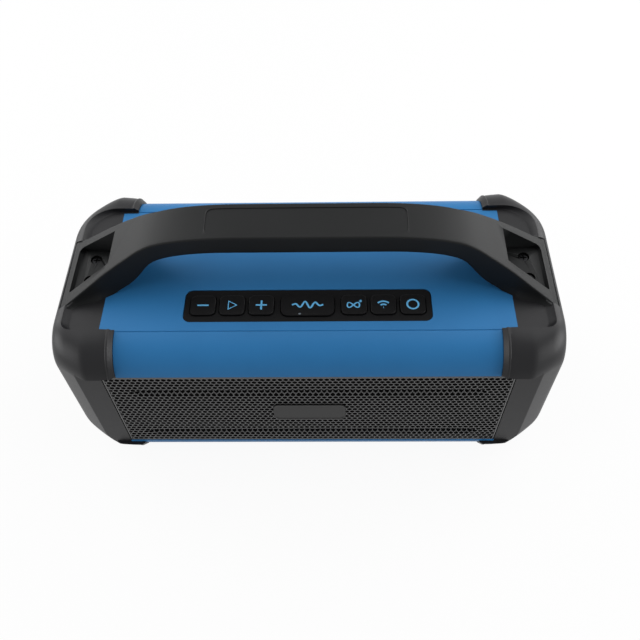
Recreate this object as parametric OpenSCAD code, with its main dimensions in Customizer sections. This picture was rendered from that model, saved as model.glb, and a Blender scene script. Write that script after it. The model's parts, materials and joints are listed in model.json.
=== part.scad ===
// Portable jobsite speaker: a blue body between two black end caps, with a
// bridge handle, a keypad on top, two drivers in front, a passive radiator and
// a port recess behind, and a battery pack inside.
// Frame: X along the body, -Y is the front, Z up, with the floor at Z = 0 and
// the origin under the middle of the object.

/* [Body] */
// Length of the blue body between the end caps
body_len = 262; // [250:1:280]
// Depth of the blue body, front to back
body_depth = 148; // [146:1:152]
// Height of the blue body
body_height = 125.5; // [122:0.5:130]
// Radius of the long body edges
body_radius = 24.6; // [22:0.2:26]
body_low_radius = 21.6; // [20:0.2:24]
// Wall thickness of the moulded shells
wall = 3; // [2.6:0.1:3.4]

/* [End caps] */
// Length of an end cap outside the blue body
cap_len = 31; // [29:1:34]
// How far the caps stand proud of the body
cap_lip = 3.5; // [3:0.1:4.5]
cap_low_lip = 2; // [1.5:0.1:3]
// How far the corner bumpers lap over the body
bumper_lap = 10; // [8:1:14]
// Height of the foot pads below the caps
foot_proud = 1.5; // [1:0.1:3]

/* [Handle] */
// Height of the handle's top above the body
handle_rise = 45.4; // [43:0.1:48]
// Depth of the handle strap, front to back
handle_depth = 29.5; // [27:0.1:32]
// Clear height for the fingers under the strap
finger_gap = 31.2; // [30:0.1:34]

/* [Grille] */
// Height of the grille opening, front and rear
grille_height = 86.9; // [85:0.1:88]
// Sheet thickness of the grilles
sheet = 1; // [0.8:0.1:1.2]

/* [Keypad] */
// Width of a small key
key_w = 16; // [15:0.1:16.5]
// Depth of a small key
key_d = 15.2; // [14:0.1:16]
// Width of the wide middle key
wide_key_w = 34; // [32:0.1:34.5]
// Distance between small keys, centre to centre
key_pitch = 18.7; // [18.6:0.1:19.6]
// How far a key stands above the body
key_proud = 0.9; // [0.8:0.1:1.2]
// Travel of a key
key_travel = 0.8; // [0.5:0.1:0.8]

/* [Drivers] */
// Distance of each driver from the middle
driver_x = 68; // [66:0.5:70]
// Radius of the driver frame
driver_r = 41; // [40:0.5:42]

/* [Hidden] */
$fn = 64;
hull_fn = 32;
eps = 0.01;
body_z0 = foot_proud + cap_low_lip;
body_top = body_z0 + body_height;
mid_z = (body_z0 + body_top) / 2;
half_len = body_len / 2;
half_depth = body_depth / 2;
cap_x = half_len + cap_len;
bumper_x = half_len - bumper_lap;
seam_y = 51.3;
panel_y = half_depth - 0.5;
half_open = grille_height / 2;

// End cap: the outer sides draw in towards the outer face, more at the rear
cap_sections = [[bumper_x, 0, 0, 0, 0], [half_len + 6, 0, 1.1, 0, 0],
                [half_len + 15, 3.8, 7.8, 0, 0], [half_len + 20.5, 6.7, 13.2, 0.2, 0.45],
                [half_len + 25, 9.5, 18.6, 1.1, 1.6], [half_len + 29, 12.1, 24.4, 3.6, 3.8],
                [cap_x, 14, 28.4, 7.4, 7.4]];
rim_x = half_len + 24.3;
rim_floor_x = half_len + 19.3;
rim_rise = 3.2;
bumper_edge = 45.75;
seat_x = half_len + 2.2;
seat_end_x = half_len + 28.4;
seat_drop = 4;
foot_in = 5;
cap_screw_y = [-44, 28];
cap_screw_drop = 8.5;
cap_screw_rise = 17;
cap_screw_yz = [for (y = cap_screw_y, z = [body_top - cap_screw_drop, body_z0 + cap_screw_rise])
    [y, z]];

// Handle
foot_x = seat_end_x;
strap_half = handle_depth / 2;
flare_x = 96;
// a leg's front edge and rear edge, as [distance from the middle, y]
leg_front = [[flare_x, -strap_half], [105, -16.2], [120, -19.4], [128, -21.6], [145, -28.5],
             [foot_x, -34.4]];
leg_rear = [[foot_x, 22.6], [133, 21], [120, 19.4], [105, 16.2], [flare_x, strap_half]];
pocket_rise = 0.3;
plate_w = 126;
handle_screw_xy = [[143, 7.4], [144.2, -10.2]];
screw_drop = 2.6;

// Keypad
pad_y = -31.65;
pad_w = 158.6;
pad_d = 25.5;
pad_r = 5;
wide_key_d = 17.2;
first_key_x = 29.6;
key_gap = 0.3;
light_x = -5;
light_in = 6.7;
frame_flange = 3;
frame_t = 1.2;
board_z = body_top - 13.6;
board_t = 1.6;

// Baffle and drivers, measured as distances in front of or behind the middle
baffle_y = 64;
cloth_y = 71.4;
cutout_r = 35.2;
driver_screw_r = 38.1;
magnet_r = 29;

// Rear
radiator_x = -22;
radiator_w = 156;
radiator_h = 66;
port_x = 94;
port_w = 40;
port_h = 40;
port_wall = 2;
port_deep = 9;
cover_t = 1.8;
port_floor_y = panel_y - port_deep;
socket_z = mid_z + 6;

// Inside
cell_r = 9.1;
cell_len = 65;
cell_pitch = 19;
cell_x = cell_len / 2 + 0.7;
main_z = body_top - 21;

// ---- Shared shapes ----

// Rectangle with rounded corners, centred, from straight and round pieces
module rounded(w, h, r) {
    square([w - 2 * r, h], center = true);
    square([w, h - 2 * r], center = true);
    for (sx = [-1, 1], sy = [-1, 1]) translate([sx * (w / 2 - r), sy * (h / 2 - r)]) circle(r);
}

// The same, with other radii at its upper and lower corners
module rounded_unlike(w, h, top_r, low_r) {
    translate([-w / 2, low_r - h / 2]) square([w, h - top_r - low_r]);
    translate([top_r - w / 2, 0]) square([w - 2 * top_r, h / 2]);
    translate([low_r - w / 2, -h / 2]) square([w - 2 * low_r, h / 2]);
    for (s = [-1, 1]) {
        translate([s * (w / 2 - top_r), h / 2 - top_r]) circle(top_r);
        translate([s * (w / 2 - low_r), low_r - h / 2]) circle(low_r);
    }
}

// Slot shape with round ends, centred, along its width
module stadium(w, h) {
    square([w - h, h], center = true);
    for (s = [-1, 1]) translate([s * (w - h) / 2, 0]) circle(h / 2);
}

// Draws a (y, z) outline as a bar from x0 to x1
module along_x(x0, x1) {
    translate([x0, 0, 0]) rotate([90, 0, 90]) linear_extrude(x1 - x0) children();
}

// Draws an (x, z) outline as a plate from y0 to y1
module along_y(y0, y1) {
    translate([0, y1, 0]) rotate([90, 0, 0]) linear_extrude(y1 - y0) children();
}

// Draws an (x, y) outline as a plate from z0 to z1
module along_z(z0, z1) {
    translate([0, 0, z0]) linear_extrude(z1 - z0) children();
}

// Round bar along Y through (x, z)
module bar_y(x, z, r, y0, y1) {
    translate([x, y1, z]) rotate([90, 0, 0]) cylinder(h = y1 - y0, r = r);
}

// Round bar along X through (y, z)
module bar_x(y, z, r, x0, x1) {
    translate([x0, y, z]) rotate([0, 90, 0]) cylinder(h = x1 - x0, r = r);
}

module block(x, y, z) {
    translate([x[0], y[0], z[0]]) cube([x[1] - x[0], y[1] - y[0], z[1] - z[0]]);
}

module both_ends() {
    children();
    mirror([1, 0, 0]) children();
}

// Body outline in (y, z), drawn in by inset
module body_outline(inset) {
    translate([0, mid_z])
        rounded_unlike(body_depth - 2 * inset, body_height - 2 * inset, body_radius - inset,
            body_low_radius - inset);
}

// Turned shape about a front-to-back axis; the outline is (radius, distance in front)
module turned(x) {
    translate([x, 0, mid_z]) rotate([90, 0, 0]) rotate_extrude() children();
}

// Pan-head screw with its head's seat at the origin, the shank along -Z
module pan_screw(shank_r, len, head_r, head_h) {
    difference() {
        cylinder(h = head_h, r = head_r);
        translate([0, 0, 0.45 * head_h]) cylinder(h = head_h, r = 0.45 * head_r, $fn = 6);
    }
    translate([0, 0, -len]) cylinder(h = len + eps, r = shank_r);
}

function lerp(a, b, t) = a + (b - a) * t;
function bezier(a, b, c, d, n) = [for (i = [0:n]) let (t = i / n, s = 1 - t)
    s * s * s * a + 3 * s * s * t * b + 3 * s * t * t * c + t * t * t * d];
function arc(cx, cy, r, a0, a1, n) = [for (i = [0:n]) let (a = lerp(a0, a1, i / n))
    [cx + r * cos(a), cy + r * sin(a)]];

// ---- Body shells ----

cover_tab_x = [-100, 0, 100];
tab_y = 46;
boss_r = 4.2;
cap_boss_end = 108;

module cover_plate() {
    along_x(-half_len, half_len) intersection() {
        difference() {
            body_outline(0);
            body_outline(wall);
        }
        translate([-seam_y, mid_z]) square([2 * seam_y, body_height]);
    }
}

// Bosses in which the end cap screws hold, hung from the cover plate by drop
module cap_bosses(drop) {
    for (s = [-1, 1], y = cap_screw_y) {
        x = s > 0 ? [cap_boss_end, half_len] : [-half_len, -cap_boss_end];
        bar_x(y, body_top - drop, boss_r, x[0], x[1]);
        block(x, [y - boss_r, y + boss_r], [body_top - drop, body_top - wall + eps]);
    }
}

module cap_boss_bores(drop) {
    for (s = [-1, 1], y = cap_screw_y)
        bar_x(y, body_top - drop, 2.05, s * 122 - 12, s * 122 + 12);
}

board_post_xy = [[-54, 4], [54, 4], [-54, 40], [54, 40]];
key_post_xy = [[-87, pad_y - 9], [87, pad_y - 9], [-87, pad_y + 9], [87, pad_y + 9]];

module top_cover() {
    color("#34739f") difference() {
        union() {
            cover_plate();
            cap_bosses(cap_screw_drop);
            for (p = board_post_xy) translate([p[0], p[1], main_z + board_t])
                cylinder(h = body_top - wall - main_z - board_t + eps, r = 3.5);
            for (p = key_post_xy) translate([p[0], p[1], board_z + board_t])
                cylinder(h = body_top - wall - board_z - board_t + eps, r = 3.2);
        }
        cap_boss_bores(cap_screw_drop);
        translate([0, pad_y, 0])
            along_z(body_top - wall - eps, body_top + 1) rounded(pad_w, pad_d, pad_r);
        for (p = board_post_xy) translate([p[0], p[1], main_z]) cylinder(h = 12, r = 1.3);
        for (p = key_post_xy) translate([p[0], p[1], board_z]) cylinder(h = 9, r = 1.1);
    }
}

tray_boss_xy = [[-74, -22], [74, -22], [-74, 22], [74, 22]];
tray_top = 12;
battery_top = tray_top + 2 * cell_r + 0.1;

module bottom_cover() {
    color("#34739f") difference() {
        union() {
            translate([0, 0, 2 * mid_z]) mirror([0, 0, 1]) {
                cover_plate();
                cap_bosses(cap_screw_rise);
            }
            for (p = tray_boss_xy) translate([p[0], p[1], body_z0 + wall - eps])
                cylinder(h = battery_top - body_z0 - wall + eps, r = 4);
        }
        translate([0, 0, 2 * mid_z]) mirror([0, 0, 1]) cap_boss_bores(cap_screw_rise);
        for (x = cover_tab_x, s = [-1, 1]) translate([x, s * tab_y, body_z0]) {
            translate([0, 0, -1]) cylinder(h = 10, r = 1.7);
            translate([0, 0, -1]) cylinder(h = 2.4, r = 3.4);
        }
        for (p = tray_boss_xy) translate([p[0], p[1], tray_top]) cylinder(h = battery_top, r = 1.3);
    }
}

// Front half of the body: the two round shoulders, the webs behind them and
// the baffle wall, with its openings cut by the children
module side_shell() {
    difference() {
        union() {
            along_x(-half_len, half_len) {
                difference() {
                    intersection() {
                        difference() {
                            body_outline(0);
                            body_outline(wall);
                        }
                        translate([-half_depth, 0]) square([half_depth - seam_y, body_top]);
                    }
                    translate([-half_depth - 1, mid_z - half_open]) square([10, grille_height]);
                }
                // web behind the shoulder, and the ledge under the cover
                for (up = [0, 1]) translate([0, mid_z]) mirror([0, up]) {
                    translate([-72.4, half_open]) square([72.4 - baffle_y + wall, wall]);
                    translate([-seam_y - 3, body_height / 2 - 2 * wall]) square([3, wall + 0.8]);
                    translate([-seam_y - eps, body_height / 2 - 2 * wall]) square([3, wall - 0.15]);
                }
                translate([-baffle_y, mid_z - half_open - eps]) square([wall, grille_height + 2 * eps]);
            }
            for (x = cover_tab_x)
                block([x - 7, x + 7], [-62, -tab_y + 5], [body_z0 + wall, body_z0 + wall + 7]);
        }
        for (x = cover_tab_x) translate([x, -tab_y, body_z0 + wall - 1]) cylinder(h = 7, r = 1.35);
        children();
    }
}

module front_shell() {
    color("#34739f") side_shell() for (s = [-1, 1]) {
        bar_y(s * driver_x, mid_z, cutout_r, -70, -55);
        driver_screw_places(s * driver_x) bar_y(0, 0, 1.3, -70, -55);
    }
}

// The rear shell's wall is a ledge with pillars that the rear panel is screwed to
module rear_shell() {
    color("#34739f") difference() {
        union() {
            mirror([0, 1, 0]) side_shell()
                along_y(-70, -55) translate([0, mid_z]) rounded(body_len - 26, grille_height - 9, 6);
            for (p = rear_screw_xz) bar_y(p[0], mid_z + p[1], 3.3, baffle_y - wall, panel_y - wall);
        }
        for (p = rear_screw_xz) bar_y(p[0], mid_z + p[1], 1.45, baffle_y, 80);
    }
}

// ---- End caps ----

module cap_slab(s) {
    front = -half_depth - cap_lip + s[1];
    rear = half_depth + cap_lip - s[2];
    top = body_top + cap_lip - s[3];
    low = foot_proud + s[4];
    t = (s[0] - bumper_x) / (cap_x - bumper_x);
    translate([0, (front + rear) / 2, (top + low) / 2]) along_x(s[0] - 0.02, s[0])
        rounded_unlike(rear - front, top - low, lerp(body_radius + cap_lip, 20.5, t),
            27 + 9 * pow(t, 1.5));
}

module cap_form() {
    hull() for (s = cap_sections) cap_slab(s, $fn = hull_fn);
}

// Floor between the bumpers on top of the cap, with a sloping outer wall
module top_recess() {
    intersection() {
        along_y(-80, 80) polygon([[bumper_x - 1, body_top], [rim_floor_x, body_top],
            [rim_floor_x + 2.4, body_top + 0.5], [rim_floor_x + 4, body_top + 1.5],
            [rim_x, body_top + rim_rise], [rim_x, body_top + 9], [bumper_x - 1, body_top + 9]]);
        along_z(body_top - 1, body_top + 9) polygon(concat([[bumper_x - 1, seam_y + 0.5],
            [bumper_x - 1, -seam_y - 0.5]], arc(rim_x - 4, -seam_y + 3.5, 4, -90, 0, 6),
            arc(rim_x - 20, seam_y - 19.5, 20, 0, 90, 12)));
    }
}

// Outline of a leg and foot of the handle in (x, y), from start_x outwards
module foot_plan(start_x) {
    intersection() {
        polygon(concat(leg_front, leg_rear));
        translate([start_x, -50]) square([80, 100]);
    }
}

module end_cap() {
    color("#2b2c2e") difference() {
        union() {
            difference() {
                cap_form();
                // room for the blue body, and the hollow behind it
                along_x(bumper_x - 1, half_len) body_outline(0);
                translate([0, -3, mid_z]) along_x(half_len - 1, half_len + 20) rounded(126, 116, 22);
                translate([0, -6, mid_z]) along_x(half_len, half_len + 27) rounded(98, 104, 14);
                top_recess();
                // flat faces beside the grille and the rear panel
                for (y = [[-90, -panel_y], [panel_y, 90]])
                    block([bumper_x - 1, cap_x + 1], y, [mid_z - bumper_edge, mid_z + bumper_edge]);
            }
            block([seat_x - 2, half_len + 27.5], [-38, 27], [body_top - 9, body_top - seat_drop]);
            for (p = cap_screw_yz) bar_x(p[0], p[1], 6.2, half_len, half_len + 26);
            for (p = handle_screw_xy) translate([p[0], p[1], body_top - 22]) cylinder(h = 14, r = 4.2);
        }
        // seat of the handle foot
        along_z(body_top - seat_drop, body_top + 9) foot_plan(seat_x);
        for (p = handle_screw_xy) translate([p[0], p[1], body_top - 23]) cylinder(h = 20, r = 2);
        for (p = cap_screw_yz) {
            bar_x(p[0], p[1], 2.4, half_len - 1, cap_x + 1);
            bar_x(p[0], p[1], 4.3, half_len + 8, cap_x + 1);
        }
        // pockets of the foot pads
        for (y = [-40, 40]) translate([half_len + foot_in, y, 0])
            along_z(-1, foot_proud + 1.2) rounded(24, 14, 4);
    }
}

module end_cap_screws() {
    color("#3a3a3c") both_ends() for (p = cap_screw_yz)
        translate([half_len + 8, p[0], p[1]]) rotate([0, 90, 0]) pan_screw(2, 26, 3.9, 2.6);
}

module body_screws() {
    color("#3a3a3c") for (x = cover_tab_x, s = [-1, 1])
        translate([x, s * tab_y, body_z0 + 1.4]) mirror([0, 0, 1]) pan_screw(1.3, 7, 3, 1.3);
}

module foot_pads() {
    color("#1b1b1c") both_ends() for (y = [-40, 40])
        translate([half_len + foot_in, y, 0]) along_z(0, foot_proud + 1.2) rounded(23.6, 13.6, 3.8);
}

// ---- Handle ----

// top of the strap, from the middle to where the leg runs straight
strap_top = concat([[-eps, handle_rise]],
    bezier([40, handle_rise], [80, handle_rise], [98, 39.9], [110, 32], 12));

// Half of the side view, from the middle to the foot's end, above the body
module handle_side() {
    lower = bezier([127, 0], [114, 3], [108, 12], [101, 20.5], 6);
    inner = bezier([101, 20.5], [95, 25.5], [82, finger_gap], [50, finger_gap], 8);
    polygon(concat(strap_top, [[155.5, 2.2], [157.5, 1.5], [foot_x, 0.6], [foot_x, -seat_drop],
        [seat_x, -seat_drop], [seat_x, 0]], lower, [for (i = [1:8]) inner[i]], [[-eps, finger_gap]]));
}

module handle_half() {
    difference() {
        intersection() {
            translate([0, 0, body_top]) along_y(-40, 40) handle_side();
            along_z(body_top - 10, body_top + 60) union() {
                translate([-1, -strap_half]) square([flare_x + 1 + eps, handle_depth]);
                foot_plan(flare_x);
            }
        }
        // open pocket over the screws
        along_z(body_top + pocket_rise, body_top + 60) pocket_plan();
        for (p = handle_screw_xy) translate([p[0], p[1], body_top]) {
            translate([0, 0, -12]) cylinder(h = 20, r = 2.3);
            translate([0, 0, -screw_drop]) cylinder(h = 10, r = 3.9);
        }
    }
}

// Outline of the pocket in a foot: the thicker wall is in front
module pocket_plan() {
    polygon([[126, -13.5], [153.4, -22], [154.3, -21.2], [154.3, 12.4], [153.6, 14], [152, 15],
        [126, 14.3]]);
}

module handle() {
    color("#38393b") difference() {
        union() both_ends() handle_half();
        // shallow plate that follows the strap's top
        intersection() {
            translate([0, 0.5, 0]) along_z(body_top + 30, body_top + 60) rounded(plate_w, 21, 5);
            both_ends() translate([0, 0, body_top - 0.4]) along_y(-20, 20)
                polygon(concat(strap_top, [[110, 60], [-eps, 60]]));
        }
    }
}

module handle_screws() {
    color("#4a4a4c") both_ends() for (p = handle_screw_xy)
        translate([p[0], p[1], body_top - screw_drop]) pan_screw(1.9, 18, 3.5, 2);
}

// ---- Front grille ----

groove_z = [mid_z + 24.25, mid_z - 29.75];
groove_len = 234;
badge_w = 48.4;
badge_z = mid_z - 0.95;
badge_h = 19.4;
badge_t = 0.9;

module front_grille() {
    w = body_len - 0.8;
    h = grille_height - 0.6;
    color("#55565a") difference() {
        union() {
            difference() {
                along_y(-panel_y, -panel_y + 5) translate([0, mid_z]) square([w, h], center = true);
                along_y(-panel_y + sheet, -panel_y + 6) translate([0, mid_z])
                    square([w - 2 * sheet, h - 2 * sheet], center = true);
            }
            for (z = groove_z) along_y(-panel_y + sheet - eps, -panel_y + sheet + 0.7)
                translate([0, z]) stadium(groove_len, 6.4);
        }
        for (z = groove_z) along_y(-panel_y - 1, -panel_y + 0.9)
            translate([0, z]) stadium(groove_len - 1.6, 4.8);
    }
}

module badge_plate() {
    color("#3b3b3d") along_y(-panel_y - badge_t, -panel_y) translate([0, badge_z])
        rounded(badge_w, badge_h, 4);
}

module grille_cloth() {
    color("#161617") along_y(-cloth_y, -cloth_y + 0.5) translate([0, mid_z])
        square([body_len - 3.4, grille_height - 3.2], center = true);
}

// ---- Keypad ----

function key_x(i) = i < 3 ? -first_key_x - (2 - i) * key_pitch
    : i > 3 ? first_key_x + (i - 4) * key_pitch : 0;
function key_size(i) = i == 3 ? [wide_key_w, wide_key_d, 5] : [key_w, key_d, 3.5];

module keypad_frame() {
    color("#2a2a2c") difference() {
        union() {
            translate([0, pad_y, 0]) along_z(body_top - wall - frame_t, body_top - 0.2)
                rounded(pad_w - 0.3, pad_d - 0.3, pad_r - 0.15);
            translate([0, pad_y, 0]) along_z(body_top - wall - frame_t, body_top - wall)
                rounded(pad_w + 2 * frame_flange, pad_d + 2 * frame_flange, pad_r);
        }
        for (i = [0:6]) {
            k = key_size(i);
            translate([key_x(i), pad_y, 0]) along_z(body_top - 10, body_top + 1)
                rounded(k[0] + 2 * key_gap, k[1] + 2 * key_gap, k[2] + key_gap);
        }
    }
}

module key(i) {
    k = key_size(i);
    under = body_top - wall - frame_t - 0.2;
    color("#2d2d2f") translate([key_x(i), pad_y, 0]) difference() {
        union() {
            along_z(under - 0.8, body_top + key_proud) rounded(k[0], k[1], k[2]);
            along_z(under - 0.8, under) rounded(k[0] + 1.6, k[1] + 1.6, k[2] + 0.8);
            translate([0, 0, under - 2.2]) cylinder(h = 1.4 + eps, r = 2);
        }
        if (i == 3) translate([light_x, -light_in, under - 3]) cylinder(h = 12, r = 1.05);
    }
}

module key_board() {
    color("#1d5a35") difference() {
        translate([0, pad_y, 0]) along_z(board_z, board_z + board_t) rounded(184, 28, 2);
        for (p = key_post_xy) translate([p[0], p[1], board_z - 1]) cylinder(h = 4, r = 1.3);
    }
}

module key_switches() {
    color("#8c8f94") for (i = [0:6]) translate([key_x(i), pad_y, board_z + board_t]) {
        translate([-3.1, -3.1, 0]) cube([6.2, 6.2, 3.4]);
        cylinder(h = 4.2, r = 1.7);
    }
}

module status_light() {
    color("#d8ecff") translate([light_x, pad_y - light_in, board_z + board_t])
        cylinder(h = body_top - board_z - board_t, r = 0.8);
}

// ---- Drivers ----

module driver_screw_places(x) {
    for (a = [45:90:315]) translate([x, 0, mid_z]) rotate([0, a, 0]) translate([driver_screw_r, 0, 0])
        children();
}

module driver_frame(x) {
    rim = baffle_y + 2.4;
    color("#2e2f31") difference() {
        turned(x) polygon([[33, rim], [driver_r, rim], [driver_r, rim - 2], [34.6, rim - 2],
            [34.6, baffle_y - 2], [23.4, 46], [21.4, 42.8], [12.4, 42.8], [12.4, 44], [20, 44],
            [20, 46], [22.2, 46], [33, baffle_y - 1.4]]);
        // windows of the basket
        for (a = [0:60:300]) translate([x, 0, mid_z]) rotate([0, a, 0])
            block([-6, 6], [-60, -49], [0, 50]);
        driver_screw_places(x) bar_y(0, 0, 1.3, -90, -50);
    }
}

module driver_magnet(x) {
    color("#5c5c60") {
        turned(x) translate([11.4, 39.8]) square([13.6, 3]);
        turned(x) translate([11.4, 27.8]) square([magnet_r - 11.4, 12]);
        turned(x) polygon([[0, 24.8], [27, 24.8], [27, 27.8], [9.4, 27.8], [9.4, 42.6], [0, 42.6]]);
    }
}

module cone(x) {
    color("#202022") turned(x) {
        polygon([[10.7, 50], [11.3, 50], [30.2, 65.6], [31.2, 65.6], [31.2, 66.4], [30, 66.4],
            [10.7, 50.8]]);
        // dust cap
        intersection() {
            difference() {
                translate([0, 40]) circle(17.5);
                translate([0, 40]) circle(16.8);
            }
            translate([0, 50]) square([12.4, 12]);
        }
    }
}

module voice_coil(x) {
    color("#b8743a") turned(x) translate([10, 32]) square([0.7, 18.6]);
}

module surround(x) {
    color("#19191a") turned(x) {
        difference() {
            translate([33.1, baffle_y + 2.4]) circle(2.4);
            translate([33.1, baffle_y + 2.4]) circle(1.7);
            translate([30, baffle_y - 2]) square([8, 4.4]);
        }
        translate([35.3, baffle_y + 2.4]) square([0.5, 0.7]);
    }
}

// Corrugated cloth ring that centres the coil
module spider(x) {
    color("#c9a227") turned(x) for (i = [0:3])
        translate([10.75 + i * 2.8, 46 + (i % 2) * 0.6]) square([2.85, 0.7]);
}

module driver_gaskets() {
    color("#141414") difference() {
        for (s = [-1, 1]) turned(s * driver_x)
            translate([cutout_r + 0.2, baffle_y]) square([driver_r - cutout_r - 0.2, 0.4]);
        for (s = [-1, 1]) driver_screw_places(s * driver_x) bar_y(0, 0, 1.4, -90, -50);
    }
}

module driver_screws() {
    color("#6a6a6d") for (s = [-1, 1]) driver_screw_places(s * driver_x)
        translate([0, -baffle_y - 2.4, 0]) rotate([90, 0, 0]) pan_screw(1.2, 5, 2.2, 1.2);
}

// ---- Rear ----

rear_screw_xz = [for (x = [-124, -62, 0, 62, 124], z = [-38.6, 38.6]) [x, z]];
hinge_y = panel_y - 1.1;
hinge_z = mid_z - port_h / 2 - 2.2;
socket_xz = [port_x - 8, socket_z - 1.35];
jack_x = port_x + 9;
rail_x = [port_x - 15, port_x + 15];

module rear_panel() {
    color("#2b2c2e") difference() {
        union() {
            along_y(panel_y - wall, panel_y) translate([0, mid_z])
                square([body_len - 0.4, grille_height - 0.4], center = true);
            along_y(port_floor_y - port_wall, panel_y - 1) translate([port_x, mid_z])
                rounded(port_w + 2 * port_wall, port_h + 2 * port_wall, 4);
            block([port_x - 14, port_x + 14], [67, panel_y - 1], [hinge_z - 4, hinge_z + 1]);
            for (x = rail_x) block([x - 2, x + 2], [40, port_floor_y - port_wall + eps],
                [socket_z - 7.6, socket_z - 4.6]);
        }
        // recess, the seat of its cover and the cover's hinge pocket
        along_y(port_floor_y, 90) translate([port_x, mid_z]) rounded(port_w, port_h, 3);
        along_y(panel_y - cover_t - 0.2, 90) translate([port_x, mid_z + 2])
            rounded(port_w + 7, port_h + 5, 4);
        block([port_x - 9.3, port_x + 9.3], [hinge_y - 1.5, 90], [hinge_z - 2.3, hinge_z + 2.4]);
        bar_x(hinge_y, hinge_z, 0.52, port_x - 12.2, port_x + 12.2);
        // radiator opening with the seat of its grille
        along_y(panel_y - sheet, 90) translate([radiator_x, mid_z]) stadium(radiator_w, radiator_h);
        along_y(50, 90) translate([radiator_x, mid_z]) stadium(radiator_w - 14, radiator_h - 14);
        // sockets
        along_y(50, port_floor_y + 1) translate(socket_xz) rounded(9.2, 3.6, 1.7);
        bar_y(jack_x, socket_z, 3.1, 50, port_floor_y + 1);
        for (p = rear_screw_xz) {
            bar_y(p[0], mid_z + p[1], 1.6, 60, 90);
            bar_y(p[0], mid_z + p[1], 3.1, panel_y - 1.2, 90);
        }
        for (x = rail_x) translate([x, 46, socket_z - 9]) cylinder(h = 6, r = 0.95);
    }
}

module rear_panel_screws() {
    color("#3a3a3c") for (p = rear_screw_xz)
        translate([p[0], panel_y - 1.2, mid_z + p[1]]) rotate([-90, 0, 0]) pan_screw(1.4, 7.5, 2.8, 1);
}

module rear_grille() {
    color("#55565a") along_y(panel_y - sheet, panel_y) translate([radiator_x, mid_z])
        stadium(radiator_w - 0.4, radiator_h - 0.4);
}

module radiator_frame() {
    color("#2e2f31") along_y(67, panel_y - wall) translate([radiator_x, mid_z]) difference() {
        stadium(radiator_w - 2, radiator_h - 2);
        stadium(radiator_w - 22, radiator_h - 22);
    }
}

radiator_span = radiator_w - radiator_h;

module radiator_plate() {
    color("#202022") {
        along_y(66.2, 67.8) translate([radiator_x, mid_z]) stadium(radiator_span + 26, 26);
        along_y(61, 66.2 + eps) translate([radiator_x, mid_z]) stadium(radiator_span + 14, 14);
    }
}

// Draws a (distance out from the middle line, y) outline around the slot shape
module around_radiator() {
    for (s = [0, 1]) translate([radiator_x, 0, mid_z]) {
        mirror([s, 0, 0]) translate([radiator_span / 2, 0, 0]) rotate([-90, 0, 0]) rotate([0, 0, -90])
            rotate_extrude(angle = 180) children();
        mirror([0, 0, s]) translate([-radiator_span / 2, 0, 0]) rotate([90, 0, 90])
            linear_extrude(radiator_span) mirror([1, -1]) children();
    }
}

module radiator_surround() {
    color("#19191a") around_radiator() {
        translate([10, 65.4]) square([3.4, 0.8]);
        difference() {
            translate([17, 66.2]) circle(4);
            translate([17, 66.2]) circle(3.2);
            translate([12, 66.2]) square([10, 10]);
        }
        translate([20.6, 65.4]) square([3.6, 0.8]);
        translate([22.6, 66.1]) square([1.6, 0.9]);
    }
}

module port_cover() {
    color("#1c1c1d") difference() {
        union() {
            along_y(panel_y - cover_t, panel_y) translate([port_x, mid_z + 2.1])
                rounded(port_w + 6.2, port_h + 4.2, 3.6);
            along_y(panel_y - cover_t - 2.5, panel_y - cover_t + eps) translate([port_x, mid_z + 0.8])
                rounded(port_w - 1.6, port_h - 2.4, 2.4);
            block([port_x - 9, port_x + 9], [panel_y - cover_t, panel_y], [hinge_z, hinge_z + 4]);
            bar_x(hinge_y, hinge_z, 1.1, port_x - 9, port_x + 9);
        }
        along_y(panel_y - cover_t - 3, panel_y - cover_t) translate([port_x, mid_z + 0.8])
            rounded(port_w - 5, port_h - 6, 1.6);
        bar_x(hinge_y, hinge_z, 0.58, port_x - 20, port_x + 20);
    }
}

module port_cover_pin() {
    color("#9a9ca0") bar_x(hinge_y, hinge_z, 0.5, port_x - 12, port_x + 12);
}

// ---- Electronics ----

module io_board() {
    color("#1d5a35") difference() {
        block([port_x - 18, port_x + 18], [40, port_floor_y - port_wall - 0.2],
            [socket_z - 4.6, socket_z - 3]);
        for (x = rail_x) translate([x, 46, socket_z - 6]) cylinder(h = 6, r = 1.1);
    }
}

module charge_socket() {
    color("#a9abb0") difference() {
        along_y(port_floor_y - 7.4, port_floor_y) translate(socket_xz) rounded(8.9, 3.3, 1.6);
        along_y(port_floor_y - 6.2, port_floor_y + 1) translate(socket_xz) rounded(8.2, 2.6, 1.28);
    }
    color("#222222") along_y(port_floor_y - 6.2 - eps, port_floor_y - 1) translate(socket_xz)
        square([6.4, 0.7], center = true);
}

module aux_jack() {
    color("#202020") difference() {
        union() {
            bar_y(jack_x, socket_z, 3, port_floor_y - 4, port_floor_y);
            block([jack_x - 3.5, jack_x + 3.5], [port_floor_y - 14, port_floor_y - port_wall - 0.2],
                [socket_z - 3, socket_z + 3]);
        }
        bar_y(jack_x, socket_z, 1.8, port_floor_y - 13, port_floor_y + 1);
    }
}

module main_board() {
    color("#1d5a35") difference() {
        block([-60, 60], [-2, 46], [main_z, main_z + board_t]);
        for (p = board_post_xy) translate([p[0], p[1], main_z - 1]) cylinder(h = 4, r = 1.5);
    }
}

module heat_sink() {
    color("#8e9196") {
        block([-36, -4], [10, 36], [main_z + board_t, main_z + board_t + 2]);
        for (i = [0:6]) block([-36 + i * 5, -34.6 + i * 5], [10, 36],
            [main_z + board_t + 2 - eps, main_z + board_t + 9]);
    }
}

module capacitors() {
    color("#2c3f6d") for (p = [[6, 34], [18, 34], [6, 20]])
        translate([p[0], p[1], main_z + board_t]) cylinder(h = 13, r = 5);
}

module wireless_module() {
    color("#b9bcc0") block([26, 44], [12, 26], [main_z + board_t, main_z + board_t + 2.4]);
}

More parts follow.
